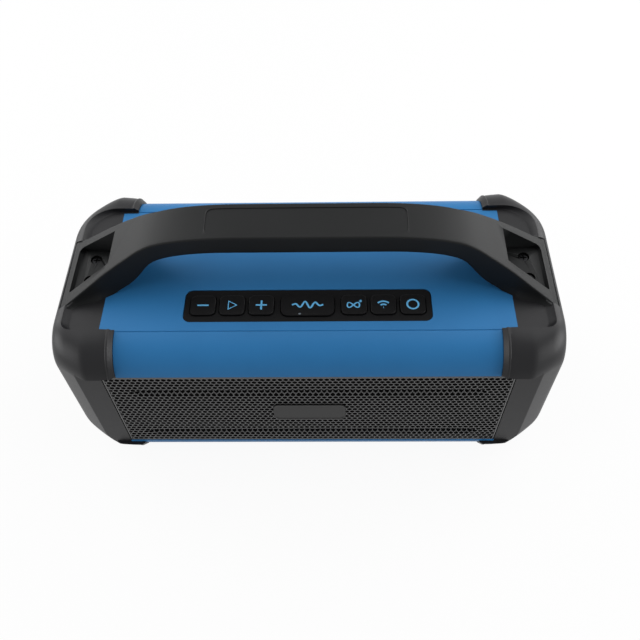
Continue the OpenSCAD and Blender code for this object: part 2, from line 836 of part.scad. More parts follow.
module board_connectors() {
    color("#e8e4d8") for (x = [-44, -35, 28, 38]) difference() {
        block([x - 3.5, x + 3.5], [-1, 4.8], [main_z + board_t, main_z + board_t + 6]);
        block([x - 2.6, x + 2.6], [0, 3.8], [main_z + board_t + 1.2, main_z + board_t + 7]);
    }
}

module inside_screws() {
    color("#9a9ca0") {
        for (p = board_post_xy) translate([p[0], p[1], main_z]) mirror([0, 0, 1])
            pan_screw(1.25, 8, 2.6, 1.6);
        for (p = key_post_xy) translate([p[0], p[1], board_z]) mirror([0, 0, 1])
            pan_screw(1.05, 7, 2.2, 1.4);
        for (x = rail_x) translate([x, 46, socket_z - 3]) pan_screw(0.85, 4, 1.8, 1.2);
        for (p = tray_boss_xy) translate([p[0], p[1], battery_top + 2]) pan_screw(1.25, 8, 2.6, 1.6);
    }
}

// ---- Battery ----

module cells(r, len) {
    for (s = [-1, 1], i = [-1, 0, 1])
        bar_x(i * cell_pitch, tray_top + cell_r, r, s * cell_x - len / 2, s * cell_x + len / 2);
}

module battery_tray() {
    color("#3d3d40") difference() {
        block([-69, 69], [-31, 31], [body_z0 + wall, tray_top + 8]);
        cells(cell_r + 0.2, cell_len + 0.4);
    }
}

module battery_cells() {
    color("#2f6f8f") cells(cell_r, cell_len);
}

module battery_clamp() {
    color("#3d3d40") difference() {
        block([-79, 79], [-29, 29], [battery_top, battery_top + 2]);
        for (p = tray_boss_xy) translate([p[0], p[1], battery_top - 1]) cylinder(h = 4, r = 1.5);
        for (x = [-35, 35]) block([x - 22, x + 22], [-20, 20], [battery_top - 1, battery_top + 3]);
    }
}

top_cover();
bottom_cover();
front_shell();
rear_shell();
mirror([1, 0, 0]) end_cap();  // left_end_cap
end_cap();  // right_end_cap
end_cap_screws();
body_screws();
foot_pads();
handle();
handle_screws();
front_grille();
badge_plate();
grille_cloth();
keypad_frame();
key(0);  // key_minus
key(1);  // key_play
key(2);  // key_plus
key(3);  // key_bass
key(4);  // key_pair
key(5);  // key_wireless
key(6);  // key_power
key_board();
key_switches();
status_light();
driver_frame(-driver_x);  // left_driver_frame
driver_frame(driver_x);  // right_driver_frame
driver_magnet(-driver_x);  // left_driver_magnet
driver_magnet(driver_x);  // right_driver_magnet
cone(-driver_x);  // left_cone
cone(driver_x);  // right_cone
voice_coil(-driver_x);  // left_voice_coil
voice_coil(driver_x);  // right_voice_coil
surround(-driver_x);  // left_surround
surround(driver_x);  // right_surround
spider(-driver_x);  // left_spider
spider(driver_x);  // right_spider
driver_gaskets();
driver_screws();
rear_panel();
rear_panel_screws();
rear_grille();
radiator_frame();
radiator_plate();
radiator_surround();
port_cover();
port_cover_pin();
io_board();
charge_socket();
aux_jack();
main_board();
heat_sink();
capacitors();
wireless_module();
board_connectors();
inside_screws();
battery_tray();
battery_cells();
battery_clamp();
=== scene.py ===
"""Looks of a portable jobsite speaker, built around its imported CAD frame.

Every piece is modelled in millimetres in the frame's own axes (X along the body, -Y the
front, Z up from the floor) and is scaled to metres when it is finished.
"""

from __future__ import annotations

import json
import logging
import math
from contextlib import contextmanager
from dataclasses import dataclass
from enum import Enum
from typing import Iterator, Sequence

import bmesh
import bpy
from mathutils import Matrix, Vector

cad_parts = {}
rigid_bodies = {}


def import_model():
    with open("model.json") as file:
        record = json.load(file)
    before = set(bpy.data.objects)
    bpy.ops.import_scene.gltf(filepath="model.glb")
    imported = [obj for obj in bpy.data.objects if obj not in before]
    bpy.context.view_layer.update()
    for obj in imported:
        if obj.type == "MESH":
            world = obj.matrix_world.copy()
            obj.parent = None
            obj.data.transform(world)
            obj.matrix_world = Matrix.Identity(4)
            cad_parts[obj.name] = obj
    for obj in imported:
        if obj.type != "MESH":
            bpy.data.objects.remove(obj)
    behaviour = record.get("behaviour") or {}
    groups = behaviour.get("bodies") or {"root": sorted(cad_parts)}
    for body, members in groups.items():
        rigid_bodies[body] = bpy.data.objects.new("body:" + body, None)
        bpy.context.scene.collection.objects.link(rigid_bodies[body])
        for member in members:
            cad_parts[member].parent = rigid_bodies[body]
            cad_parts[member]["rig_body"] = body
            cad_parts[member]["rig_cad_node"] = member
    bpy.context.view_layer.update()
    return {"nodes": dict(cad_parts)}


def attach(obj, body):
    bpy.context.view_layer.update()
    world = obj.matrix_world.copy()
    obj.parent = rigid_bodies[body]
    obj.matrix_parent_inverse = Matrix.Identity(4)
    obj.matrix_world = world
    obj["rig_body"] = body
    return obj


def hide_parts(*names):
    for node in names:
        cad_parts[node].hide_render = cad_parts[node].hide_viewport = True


LOG = logging.getLogger("jobsite_speaker")
MM = 0.001

Point = tuple[float, float, float]
Flat = tuple[float, float]
Colour = tuple[float, float, float]
Thing = bpy.types.Object
Node = bpy.types.Node

BODY_TOP = 129.0
BODY_BOTTOM = 3.5
MID_Z = 66.25
HALF_LEN = 131.0
CAP_X = 162.0
PANEL_Y = 73.5
HALF_DEPTH = 74.0
UPPER_RADIUS = 24.6
LOWER_RADIUS = 21.6
LIP = 3.5
CAP_FLOOR_X = 150.3
ROUND_X = 151.0
ROUND_DEPTH = 7.4
SEAT_X = 133.2
FOOT_X = 159.4
SEAT_DROP = 4.0
SCREW_DROP = 2.6
LEG_FRONT = ((0.0, -14.75), (96.0, -14.75), (105.0, -16.2), (120.0, -19.4), (128.0, -21.6),
             (145.0, -28.5), (FOOT_X, -34.4))
LEG_REAR = ((0.0, 14.75), (96.0, 14.75), (105.0, 16.2), (120.0, 19.4), (133.0, 21.0),
            (FOOT_X, 22.6))
HANDLE_SCREWS = ((143.0, 7.4), (144.2, -10.2))
RIM_STEPS = ((0.0, 0.0), (0.35, 1.0), (1.0, 2.3), (2.0, 3.7), (3.2, 5.0))
HOUSING = "housing"


class Side(Enum):
    """The two ends of the radio, by the sign of X."""

    LEFT = -1
    RIGHT = 1

    @property
    def word(self) -> str:
        """The side's name as the nodes spell it."""
        return self.name.lower()


class Plane(Enum):
    """How a flat outline is laid into the frame."""

    TOP = "top"
    FRONT = "front"
    REAR = "rear"

    @property
    def matrix(self) -> Matrix:
        """Turns a drawing on XY, with +Z towards its viewer, to face this way."""
        if self is Plane.TOP:
            return Matrix.Identity(4)
        if self is Plane.FRONT:
            return Matrix.Rotation(math.pi / 2, 4, "X")
        return Matrix.Rotation(math.pi, 4, "Z") @ Matrix.Rotation(math.pi / 2, 4, "X")


# ---------------------------------------------------------------------------- finishes


class Graph:
    """The nodes of a material or of the world, and the links between them."""

    def __init__(self, owner: bpy.types.Material | bpy.types.World) -> None:
        """Switches the owner to nodes and opens them."""
        owner.use_nodes = True
        self.tree = owner.node_tree

    def add(self, kind: str, operation: str = "", **inputs: object) -> Node:
        """Adds a node and sets its inputs.

        Args:
            kind: Blender's name for the node, less its prefix.
            operation: What a maths node does.
            **inputs: Values by the input's name, with _ for each space.

        Returns:
            The node.
        """
        node = self.tree.nodes.new("ShaderNode" + kind)
        if operation:
            node.operation = operation
        return self.fill(node, **inputs)

    @staticmethod
    def fill(node: Node, **inputs: object) -> Node:
        """Sets a node's inputs, named with _ for each space."""
        for name, value in inputs.items():
            node.inputs[name.replace("_", " ")].default_value = value
        return node

    def link(self, start: Node, output: str, end: Node,
             entry: str | int) -> None:
        """Links one node's output to another node's input."""
        self.tree.links.new(start.outputs[output], end.inputs[entry])


@dataclass(frozen=True)
class Finish:
    """A moulded, painted or metal surface with fine grain and slight unevenness."""

    name: str
    colour: Colour
    roughness: float = 0.45
    metallic: float = 0.0
    grain_per_m: float = 1500.0
    grain_mm: float = 0.03
    grain_strength: float = 0.25
    mottle: float = 0.08
    mottle_per_m: float = 30.0
    stretch: Point = (1.0, 1.0, 1.0)
    specular: float = 0.5
    coat: float = 0.0
    gloss_spread: float = 0.07

    def make(self) -> bpy.types.Material:
        """Builds the material, or returns it if it was built before."""
        known = bpy.data.materials.get(self.name)
        if known:
            return known
        material = bpy.data.materials.new(self.name)
        graph = Graph(material)
        shader = graph.fill(graph.tree.nodes["Principled BSDF"], Metallic=self.metallic,
                            Specular_IOR_Level=self.specular, Coat_Weight=self.coat,
                            Coat_Roughness=0.2)
        place = graph.add("TexCoord")
        mapping = graph.add("Mapping", Scale=self.stretch)
        graph.link(place, "Object", mapping, "Vector")
        self._colour(graph, mapping, shader)
        self._surface(graph, mapping, shader)
        return material

    def _colour(self, graph: Graph, mapping: Node, shader: Node) -> None:
        """Mixes two close tones of the colour by a broad noise."""
        broad = graph.add("TexNoise", Scale=self.mottle_per_m, Detail=4.0)
        ramp = graph.add("ValToRGB")
        ends = ramp.color_ramp.elements
        ends[0].position, ends[1].position = 0.3, 0.7
        for end, factor in zip(ends, (1.0 - self.mottle, 1.0 + self.mottle)):
            end.color = (*(min(1.0, channel * factor) for channel in self.colour), 1.0)
        graph.link(mapping, "Vector", broad, "Vector")
        graph.link(broad, "Fac", ramp, "Fac")
        graph.link(ramp, "Color", shader, "Base Color")

    def _surface(self, graph: Graph, mapping: Node, shader: Node) -> None:
        """Adds the fine grain as a bump and as a change of gloss."""
        fine = graph.add("TexNoise", Scale=self.grain_per_m, Detail=2.0)
        gloss = graph.add("MapRange", To_Min=max(0.05, self.roughness - self.gloss_spread),
                          To_Max=min(1.0, self.roughness + self.gloss_spread))
        bump = graph.add("Bump", Strength=self.grain_strength, Distance=self.grain_mm * MM)
        graph.link(mapping, "Vector", fine, "Vector")
        graph.link(fine, "Fac", gloss, "Value")
        graph.link(gloss, "Result", shader, "Roughness")
        graph.link(fine, "Fac", bump, "Height")
        graph.link(bump, "Normal", shader, "Normal")


@dataclass(frozen=True)
class Weave(Finish):
    """Plain cloth with crossed threads that stand out as a bump."""

    threads_per_m: float = 1400.0
    thread_mm: float = 0.1

    def _surface(self, graph: Graph, mapping: Node, shader: Node) -> None:
        """Adds two crossed sets of threads."""
        graph.fill(shader, Roughness=self.roughness)
        total = graph.add("Math", "MAXIMUM")
        for socket, direction in enumerate(("X", "Z")):
            wave = graph.add("TexWave", Scale=self.threads_per_m / 20.0, Distortion=0.4)
            wave.bands_direction = direction
            graph.link(mapping, "Vector", wave, "Vector")
            graph.link(wave, "Fac", total, socket)
        bump = graph.add("Bump", Strength=0.5, Distance=self.thread_mm * MM)
        graph.link(total, "Value", bump, "Height")
        graph.link(bump, "Normal", shader, "Normal")


BLUE = Finish("blue_moulding", (0.024, 0.15, 0.355), 0.45, grain_per_m=2200.0, grain_strength=0.12,
              mottle=0.03, specular=0.15)
BLACK = Finish("black_moulding", (0.0095, 0.0095, 0.0107), 0.4, grain_strength=0.3, specular=0.2)
HANDLE_BLACK = Finish("handle_moulding", (0.008, 0.0085, 0.0088), 0.46, grain_strength=0.35,
                      specular=0.13)
KEY_BLACK = Finish("key_moulding", (0.005, 0.005, 0.0054), 0.42, grain_strength=0.15,
                   specular=0.08)
SYMBOL_BLUE = Finish("symbol_ink", (0.09, 0.37, 0.65), 0.5, grain_strength=0.05, mottle=0.02)
GRILLE_PAINT = Finish("grille_paint", (0.075, 0.075, 0.076), 0.36, grain_strength=0.2,
                      mottle=0.05, specular=0.5)
BADGE_PAINT = Finish("badge_paint", (0.008, 0.008, 0.008), 0.4, grain_strength=0.08, specular=0.22)
RUBBER = Finish("soft_rubber", (0.014, 0.014, 0.015), 0.7, grain_per_m=900.0, grain_strength=0.3,
                specular=0.3)
CLOTH = Weave("backing_cloth", (0.0015, 0.0015, 0.0016), 0.95, specular=0.04)
BLACK_STEEL = Finish("blackened_steel", (0.045, 0.045, 0.048), 0.38, metallic=1.0)
DARK_STEEL = Finish("oxide_black_steel", (0.012, 0.012, 0.013), 0.3, metallic=1.0)
BRIGHT_STEEL = Finish("bright_steel", (0.56, 0.57, 0.59), 0.28, metallic=1.0, grain_strength=0.1,
                      stretch=(1.0, 6.0, 1.0))
BASKET_PAINT = Finish("basket_paint", (0.03, 0.03, 0.032), 0.4)
FERRITE = Finish("ferrite", (0.06, 0.06, 0.063), 0.6, grain_per_m=800.0, mottle=0.2)
CONE_PAPER = Finish("cone_paper", (0.018, 0.018, 0.019), 0.75, grain_per_m=700.0, grain_mm=0.08,
                    grain_strength=0.5, mottle=0.15)
COPPER = Finish("coil_wire", (0.62, 0.25, 0.1), 0.35, metallic=1.0, stretch=(1.0, 14.0, 1.0))
SPIDER_CLOTH = Weave("spider_cloth", (0.48, 0.3, 0.06), 0.85)
SURROUND_RUBBER = Finish("surround_rubber", (0.01, 0.01, 0.011), 0.5, grain_strength=0.1)
BOARD = Finish("board_mask", (0.01, 0.09, 0.03), 0.3, mottle=0.25, mottle_per_m=160.0, coat=0.3)
SWITCH = Finish("switch_body", (0.07, 0.07, 0.075), 0.45)
LIGHT_GUIDE = Finish("light_guide", (0.16, 0.175, 0.19), 0.2, specular=0.5)
ALLOY = Finish("heat_sink_alloy", (0.5, 0.5, 0.52), 0.4, metallic=1.0, stretch=(1.0, 8.0, 1.0))
SLEEVE = Finish("capacitor_sleeve", (0.012, 0.03, 0.14), 0.25, coat=0.5)
TIN = Finish("shield_tin", (0.6, 0.6, 0.61), 0.3, metallic=1.0)
NYLON = Finish("connector_nylon", (0.62, 0.58, 0.48), 0.5)
TRAY = Finish("tray_moulding", (0.03, 0.03, 0.032), 0.55)
CELL_WRAP = Finish("cell_wrap", (0.012, 0.12, 0.2), 0.25, coat=0.5, mottle=0.04)


# ---------------------------------------------------------------------------- modelling


class Bench:
    """The modelling moves that the sub-assemblies share, all in millimetres."""

    @staticmethod
    def clear() -> None:
        """Leaves edit mode and deselects everything."""
        if bpy.context.mode != "OBJECT":
            bpy.ops.object.mode_set(mode="OBJECT")
        bpy.ops.object.select_all(action="DESELECT")

    @classmethod
    def pick(cls, *objs: Thing) -> None:
        """Selects these objects alone; the first is the active one."""
        cls.clear()
        for obj in objs:
            obj.select_set(True)
        bpy.context.view_layer.objects.active = objs[0]

    @classmethod
    @contextmanager
    def editing(cls, obj: Thing, whole: bool = False) -> Iterator[bmesh.types.BMesh]:
        """Opens edit mode and yields the mesh, with the whole of it selected or nothing."""
        cls.pick(obj)
        bpy.ops.object.mode_set(mode="EDIT")
        bpy.ops.mesh.select_all(action="SELECT" if whole else "DESELECT")
        yield bmesh.from_edit_mesh(obj.data)
        bmesh.update_edit_mesh(obj.data)
        bpy.ops.object.mode_set(mode="OBJECT")

    @classmethod
    def settle(cls, obj: Thing) -> Thing:
        """Applies the object's own place, turn and scale to its mesh."""
        cls.pick(obj)
        bpy.ops.object.transform_apply(location=True, rotation=True, scale=True)
        return obj

    @classmethod
    def modify(cls, obj: Thing, kind: str, **settings: object) -> Thing:
        """Adds a modifier, sets it and applies it.

        Args:
            obj: The piece.
            kind: Blender's name for the modifier.
            **settings: The modifier's settings.

        Returns:
            The piece.
        """
        modifier = obj.modifiers.new(kind.lower(), kind)
        for key, value in settings.items():
            setattr(modifier, key, value)
        cls.pick(obj)
        bpy.ops.object.modifier_apply(modifier=modifier.name)
        return obj

    @classmethod
    def outward(cls, obj: Thing, merge: float = 0.001) -> Thing:
        """Merges doubled points and turns every face outwards."""
        with cls.editing(obj, True):
            bpy.ops.mesh.remove_doubles(threshold=merge)
            bpy.ops.mesh.normals_make_consistent(inside=False)
        return obj

    @classmethod
    def soften(cls, obj: Thing, width: float, angle: float = 35.0, segments: int = 3) -> Thing:
        """Rounds every edge that is sharper than the angle.

        Args:
            obj: The piece.
            width: Width of the rounding.
            angle: Least angle between two faces, in degrees.
            segments: Steps across the rounding.

        Returns:
            The piece.
        """
        return cls.modify(obj, "BEVEL", width=width, segments=segments, limit_method="ANGLE",
                          angle_limit=math.radians(angle), miter_outer="MITER_ARC",
                          use_clamp_overlap=True)

    @classmethod
    def clean(cls, obj: Thing, merge: float, angle: float) -> Thing:
        """Merges points closer than a distance and faces flatter than an angle in degrees."""
        with cls.editing(obj, True):
            bpy.ops.mesh.remove_doubles(threshold=merge)
            bpy.ops.mesh.dissolve_limited(angle_limit=math.radians(angle))
        return obj

    @classmethod
    def shade(cls, obj: Thing, angle: float = 30.0) -> Thing:
        """Shades the piece smooth, but for edges sharper than the angle."""
        cls.pick(obj)
        bpy.ops.object.shade_smooth_by_angle(angle=math.radians(angle))
        return obj

    @classmethod
    def smooth(cls, obj: Thing, angle: float = 35.0) -> Thing:
        """Shades the piece smooth, with the wide faces leading at its soft edges."""
        return cls.modify(cls.shade(obj, angle), "WEIGHTED_NORMAL", keep_sharp=True)

    @staticmethod
    def flatten(obj: Thing, way: Point, least: float = 40.0, high: float = math.inf) -> Thing:
        """Shades the wide faces that look one way as truly flat.

        Args:
            obj: The piece.
            way: Which way the faces look.
            least: Least area of such a face.
            high: Height above which faces are left as they are.

        Returns:
            The piece.
        """
        mesh = obj.data
        normals = [corner.vector.copy() for corner in mesh.corner_normals]
        for face in mesh.polygons:
            if (face.area > least and face.center.z < high
                    and face.normal.dot(Vector(way)) > 0.9995):
                for loop in face.loop_indices:
                    normals[loop] = face.normal.copy()
        mesh.normals_split_custom_set(normals)
        return obj

    @classmethod
    def cut(cls, obj: Thing, *cutters: Thing) -> Thing:
        """Cuts each cutter out of the piece and removes the cutter."""
        for cutter in cutters:
            cls.modify(obj, "BOOLEAN", operation="DIFFERENCE", solver="EXACT", object=cutter)
            bpy.data.objects.remove(cutter)
        return obj

    @classmethod
    def join(cls, objs: Sequence[Thing]) -> Thing:
        """Joins the objects' meshes into the first one."""
        cls.pick(*objs)
        if len(objs) > 1:
            bpy.ops.object.join()
        return objs[0]

    @classmethod
    def twin(cls, obj: Thing, matrix: Matrix) -> Thing:
        """Copies a piece, with its own mesh, to another place.

        Args:
            obj: The piece to copy.
            matrix: Where the copy goes.

        Returns:
            The copy.
        """
        cls.pick(obj)
        bpy.ops.object.duplicate(linked=False)
        copy = bpy.context.view_layer.objects.active
        copy.data.transform(matrix)
        if matrix.determinant() < 0:
            copy.data.flip_normals()
        return copy

    @classmethod
    def block(cls, lo: Point, hi: Point) -> Thing:
        """A box between two corners."""
        cls.clear()
        centre = [(a + b) / 2 for a, b in zip(lo, hi)]
        size = [b - a for a, b in zip(lo, hi)]
        bpy.ops.mesh.primitive_cube_add(size=1.0, location=centre, scale=size)
        return cls.settle(bpy.context.object)

    @classmethod
    def rod(cls, start: Point, end: Point, radius: float, sides: int = 32) -> Thing:
        """A round bar between two points."""
        cls.clear()
        along = Vector(end) - Vector(start)
        middle = (Vector(start) + Vector(end)) / 2
        turn = along.to_track_quat("Z", "Y").to_euler()
        bpy.ops.mesh.primitive_cylinder_add(vertices=sides, radius=radius, depth=along.length,
                                            location=middle, rotation=turn)
        return cls.settle(bpy.context.object)

    @classmethod
    def plate(cls, size: Flat, radius: float, low: float, high: float, centre: Flat = (0.0, 0.0),
              plane: Plane = Plane.TOP, steps: int = 8) -> Thing:
        """A flat plate with rounded corners, extruded from a plane.

        Args:
            size: Width and height of the outline.
            radius: Radius of its corners.
            low: Start of the plate along its facing axis.
            high: End of the plate along its facing axis.
            centre: Middle of the outline.
            plane: The way the plate faces.
            steps: Segments in each corner.

        Returns:
            The plate.
        """
        cls.clear()
        bpy.ops.mesh.primitive_plane_add(size=1.0, location=(centre[0], centre[1], low))
        obj = bpy.context.object
        obj.scale = (size[0], size[1], 1.0)
        cls.settle(obj)
        with cls.editing(obj, True):
            bpy.ops.mesh.bevel(offset=radius * 0.9999, segments=steps, affect="VERTICES")
            bpy.ops.mesh.select_all(action="SELECT")
            bpy.ops.mesh.extrude_region_move(TRANSFORM_OT_translate={"value": (0, 0, high - low)})
        cls.outward(obj, 0.0005)
        obj.data.transform(plane.matrix)
        return obj

    @staticmethod
    def _key(vertex: bmesh.types.BMVert) -> Point:
        """A point's place, rounded so that two points on one spot match."""
        return tuple(round(c, 4) for c in vertex.co)

    @staticmethod
    def _select_cap(mesh: bmesh.types.BMesh, points: Sequence[bmesh.types.BMVert],
                    keep: bool = False) -> None:
        """Selects the face that has just these points.

        Args:
            mesh: The mesh in edit mode.
            points: The face's points.
            keep: True to leave what was selected before.
        """
        if not keep:
            bpy.ops.mesh.select_all(action="DESELECT")
        wanted = set(points)
        for face in mesh.faces:
            if len(face.verts) == len(wanted) and set(face.verts) == wanted:
                face.select_set(True)

    @classmethod
    def loft(cls, rings: Sequence[Sequence[Point]], closed: bool = False) -> Thing:
        """Extrudes a circle through a row of rings, and gives each ring its own shape.

        Args:
            rings: The rings, all with the same number of points in the same order.
            closed: True for a body that runs back into its first ring.

        Returns:
            The solid.
        """
        cls.clear()
        count = len(rings[0])
        bpy.ops.mesh.primitive_circle_add(vertices=count, fill_type="NGON")
        obj = bpy.context.object
        with cls.editing(obj) as mesh:
            order = dict(enumerate(mesh.verts))
            for i, v in order.items():
                v.co = rings[0][i]
            first = list(order.values())
            for ring in rings[1:]:
                before = {cls._key(v): i for i, v in order.items()}
                cls._select_cap(mesh, list(order.values()))
                bpy.ops.mesh.extrude_region_move()
                order = {before[cls._key(v)]: v for v in mesh.verts if v.select}
                for i, v in order.items():
                    v.co = ring[i]
            if closed:
                for cap in (first, list(order.values())):
                    cls._select_cap(mesh, cap, keep=cap is not first)
                bpy.ops.mesh.bridge_edge_loops()
        return cls.outward(obj, 0.0005)

    @classmethod
    def stroke(cls, points: Sequence[Flat], width: float, level: float, closed: bool = False,
               depth: float = 0.12) -> Thing:
        """A flat inlaid line that follows points on a level plane.

        Args:
            points: The line's points.
            width: Width of the line.
            level: Height of the plane.
            closed: True if the line runs back to its start.
            depth: Half of the inlay's thickness.

        Returns:
            The line as a mesh.
        """
        cls.clear()
        curve = bpy.data.curves.new("stroke", "CURVE")
        curve.dimensions = "3D"
        curve.bevel_depth = width / 2
        curve.bevel_resolution = 3
        curve.use_fill_caps = True
        spline = curve.splines.new("POLY")
        spline.points.add(len(points) - 1)
        for node, point in zip(spline.points, points):
            node.co = (*point, 0.0, 1.0)
        spline.use_cyclic_u = closed
        obj = bpy.data.objects.new("stroke", curve)
        bpy.context.scene.collection.objects.link(obj)
        cls.pick(obj)
        bpy.ops.object.convert(target="MESH")
        obj = bpy.context.object
        obj.data.transform(Matrix.Translation((0, 0, level))
                           @ Matrix.Diagonal((1, 1, depth / (width / 2), 1)))
        return obj

    @classmethod
    def from_node(cls, node: str, soften: float = 0.0) -> Thing:
        """Copies a CAD node's mesh, closes its loose triangles and rounds its edges.

        Args:
            node: The CAD node.
            soften: Width of the rounding; none at 0.

        Returns:
            The copy, in millimetres.
        """
        cls.pick(FRAME["nodes"][node])
        bpy.ops.object.duplicate(linked=False)
        obj = bpy.context.view_layer.objects.active
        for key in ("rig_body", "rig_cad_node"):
            if key in obj:
                del obj[key]
        obj.parent = None
        obj.data.materials.clear()
        obj.data.transform(Matrix.Scale(1 / MM, 4))
        cls.clean(obj, 0.002, 0.5)
        if soften:
            cls.soften(obj, soften, 40.0, 2)
        return cls.smooth(obj)

    @classmethod
    def finish(cls, obj: Thing, name: str, finish: Finish, body: str = HOUSING,
               stands_for: Sequence[str] = (), slot: str = "") -> Thing:
        """Brings a piece to metres, dresses it and puts it on its body.

        Args:
            obj: The piece.
            name: The piece's name.
            finish: Its surface.
            body: The body that it moves with.
            stands_for: CAD nodes that it replaces.
            slot: The record's material slot; not used.

        Returns:
            The finished piece.
        """
        cls.clear()
        obj.name = name
        obj.data.name = name
        obj.data.transform(Matrix.Scale(MM, 4))
        obj.data.materials.clear()
        obj.data.materials.append(finish.make())
        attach(obj, body)
        if stands_for:
            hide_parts(*stands_for)
        LOG.info("%s: %d faces, on %s", name, len(obj.data.polygons), body)
        return obj


def blend(a: float, b: float, t: float) -> float:
    """The value a share t of the way from a to b."""
    return a + (b - a) * t


def ease(low: float, high: float, value: float) -> float:
    """0 below low and 1 above high, with a smooth step between."""
    t = min(1.0, max(0.0, (value - low) / (high - low)))
    return t * t * (3 - 2 * t)


def taper(x: float, start: float, depth: float, power: float) -> float:
    """How far a side is drawn in at x, from 0 at start to the depth at the cap's end."""
    return depth * (max(0.0, x - start) / (CAP_X - start)) ** power


def round_off(x: float, start: float, depth: float) -> float:
    """How far an edge falls away at x, on a quarter ellipse from start to the cap's end."""
    return depth * (1 - math.sqrt(max(0.0, 1 - (max(0.0, x - start) / (CAP_X - start)) ** 2)))


def bezier(points: Sequence[Flat], steps: int) -> list[Flat]:
    """Points along a cubic curve, ends included.

    Args:
        points: The curve's four control points.
        steps: Number of segments.

    Returns:
        The points.
    """
    line = []
    for i in range(steps + 1):
        t = i / steps
        s = 1 - t
        weights = (s ** 3, 3 * s * s * t, 3 * s * t * t, t ** 3)
        line.append(tuple(sum(w * p[k] for w, p in zip(weights, points)) for k in (0, 1)))
    return line


def along(line: Sequence[Flat], x: float) -> float:
    """Height of a line of points at x, where the points run from low x to high x."""
    for (x0, z0), (x1, z1) in zip(line, line[1:]):
        if x <= x1:
            return z0 if x1 == x0 else blend(z0, z1, max(0.0, (x - x0) / (x1 - x0)))
    return line[-1][1]


def rounded(y0: float, y1: float, z0: float, z1: float, radius: float, arc: int,
            side: int = 0, low: float | None = None) -> list[Flat]:
    """A rounded rectangle, anticlockwise from the middle of its right side.

    Args:
        y0: Left edge.
        y1: Right edge.
        z0: Lower edge.
        z1: Upper edge.
        radius: Radius of the corners.
        arc: Segments in each corner.
        side: Extra points along each straight side.
        low: Radius of the two lower corners, where it is another.

    Returns:
        The outline's points.
    """
    low = radius if low is None else low
    corners = [(y1 - radius, z1 - radius, radius, 0.0), (y0 + radius, z1 - radius, radius, 90.0),
               (y0 + low, z0 + low, low, 180.0), (y1 - low, z0 + low, low, 270.0)]
    points: list[Flat] = []
    for number, (cy, cz, reach, start) in enumerate(corners):
        for i in range(arc + 1):
            a = math.radians(start + 90.0 * i / arc)
            points.append((cy + reach * math.cos(a), cz + reach * math.sin(a)))
        ny, nz, reach, angle = corners[(number + 1) % 4]
        a = math.radians(angle)
        there = (ny + reach * math.cos(a), nz + reach * math.sin(a))
        here = points[-1]
        for i in range(1, side + 1):
            t = i / (side + 1)
            points.append((blend(here[0], there[0], t), blend(here[1], there[1], t)))
    return points


# ---------------------------------------------------------------------------- the body


@dataclass
class Shells:
    """The four blue shells of the body, with their edges broken along the seams."""

    seam_y: float = 51.3
    seam_width: float = 0.45
    seam_depth: float = 0.5
    arc_slack: float = 0.06

    @staticmethod
    def _arcs() -> list[Point]:
        """The round shoulders' middles and radii."""
        upper = (BODY_TOP - UPPER_RADIUS, UPPER_RADIUS)
        lower = (BODY_BOTTOM + LOWER_RADIUS, LOWER_RADIUS)
        return [(side * (HALF_DEPTH - radius), z, radius) for z, radius in (upper, lower)
                for side in (-1, 1)]

    def _break_seams(self, obj: Thing) -> Thing:
        """Breaks the shell's outer edges along the seams, so that they show as lines."""
        for side in (-1, 1):
            for y in (self.seam_y - self.seam_width, self.seam_y + self.seam_width):
                with Bench.editing(obj, True):
                    bpy.ops.mesh.bisect(plane_co=(0, side * y, 0), plane_no=(0, 1, 0))
        for vertex in obj.data.vertices:
            if abs(abs(vertex.co.y) - self.seam_y) < 0.02:
                if abs(vertex.co.z - BODY_TOP) < 0.12:
                    vertex.co.z -= self.seam_depth
                elif abs(vertex.co.z - BODY_BOTTOM) < 0.12:
                    vertex.co.z += self.seam_depth
        return Bench.smooth(obj)

    def _true_shoulders(self, obj: Thing) -> Thing:
        """Gives the faces of the round shoulders the exact normals of their arcs."""
        mesh = obj.data
        normals = [corner.vector.copy() for corner in mesh.corner_normals]
        arcs = self._arcs()
        for face in mesh.polygons:
            for y, z, radius in arcs:
                spokes = [Vector((0, mesh.vertices[i].co.y - y, mesh.vertices[i].co.z - z))
                          for i in face.vertices]
                if any(abs(spoke.length - radius) > self.arc_slack for spoke in spokes):
                    continue
                middle = sum(spokes, Vector()).normalized()
                if face.normal.dot(middle) > 0.99:
                    for loop, spoke in zip(face.loop_indices, spokes):
                        normals[loop] = spoke.normalized()
        mesh.normals_split_custom_set(normals)
        return obj

    def build(self) -> None:
        """Makes the shells and dresses them."""
        for node in ("top_cover", "bottom_cover", "front_shell", "rear_shell"):
            shell = self._true_shoulders(self._break_seams(Bench.from_node(node)))
            Bench.finish(shell, node + "_moulding", BLUE, stands_for=[node], slot="blue_shell")


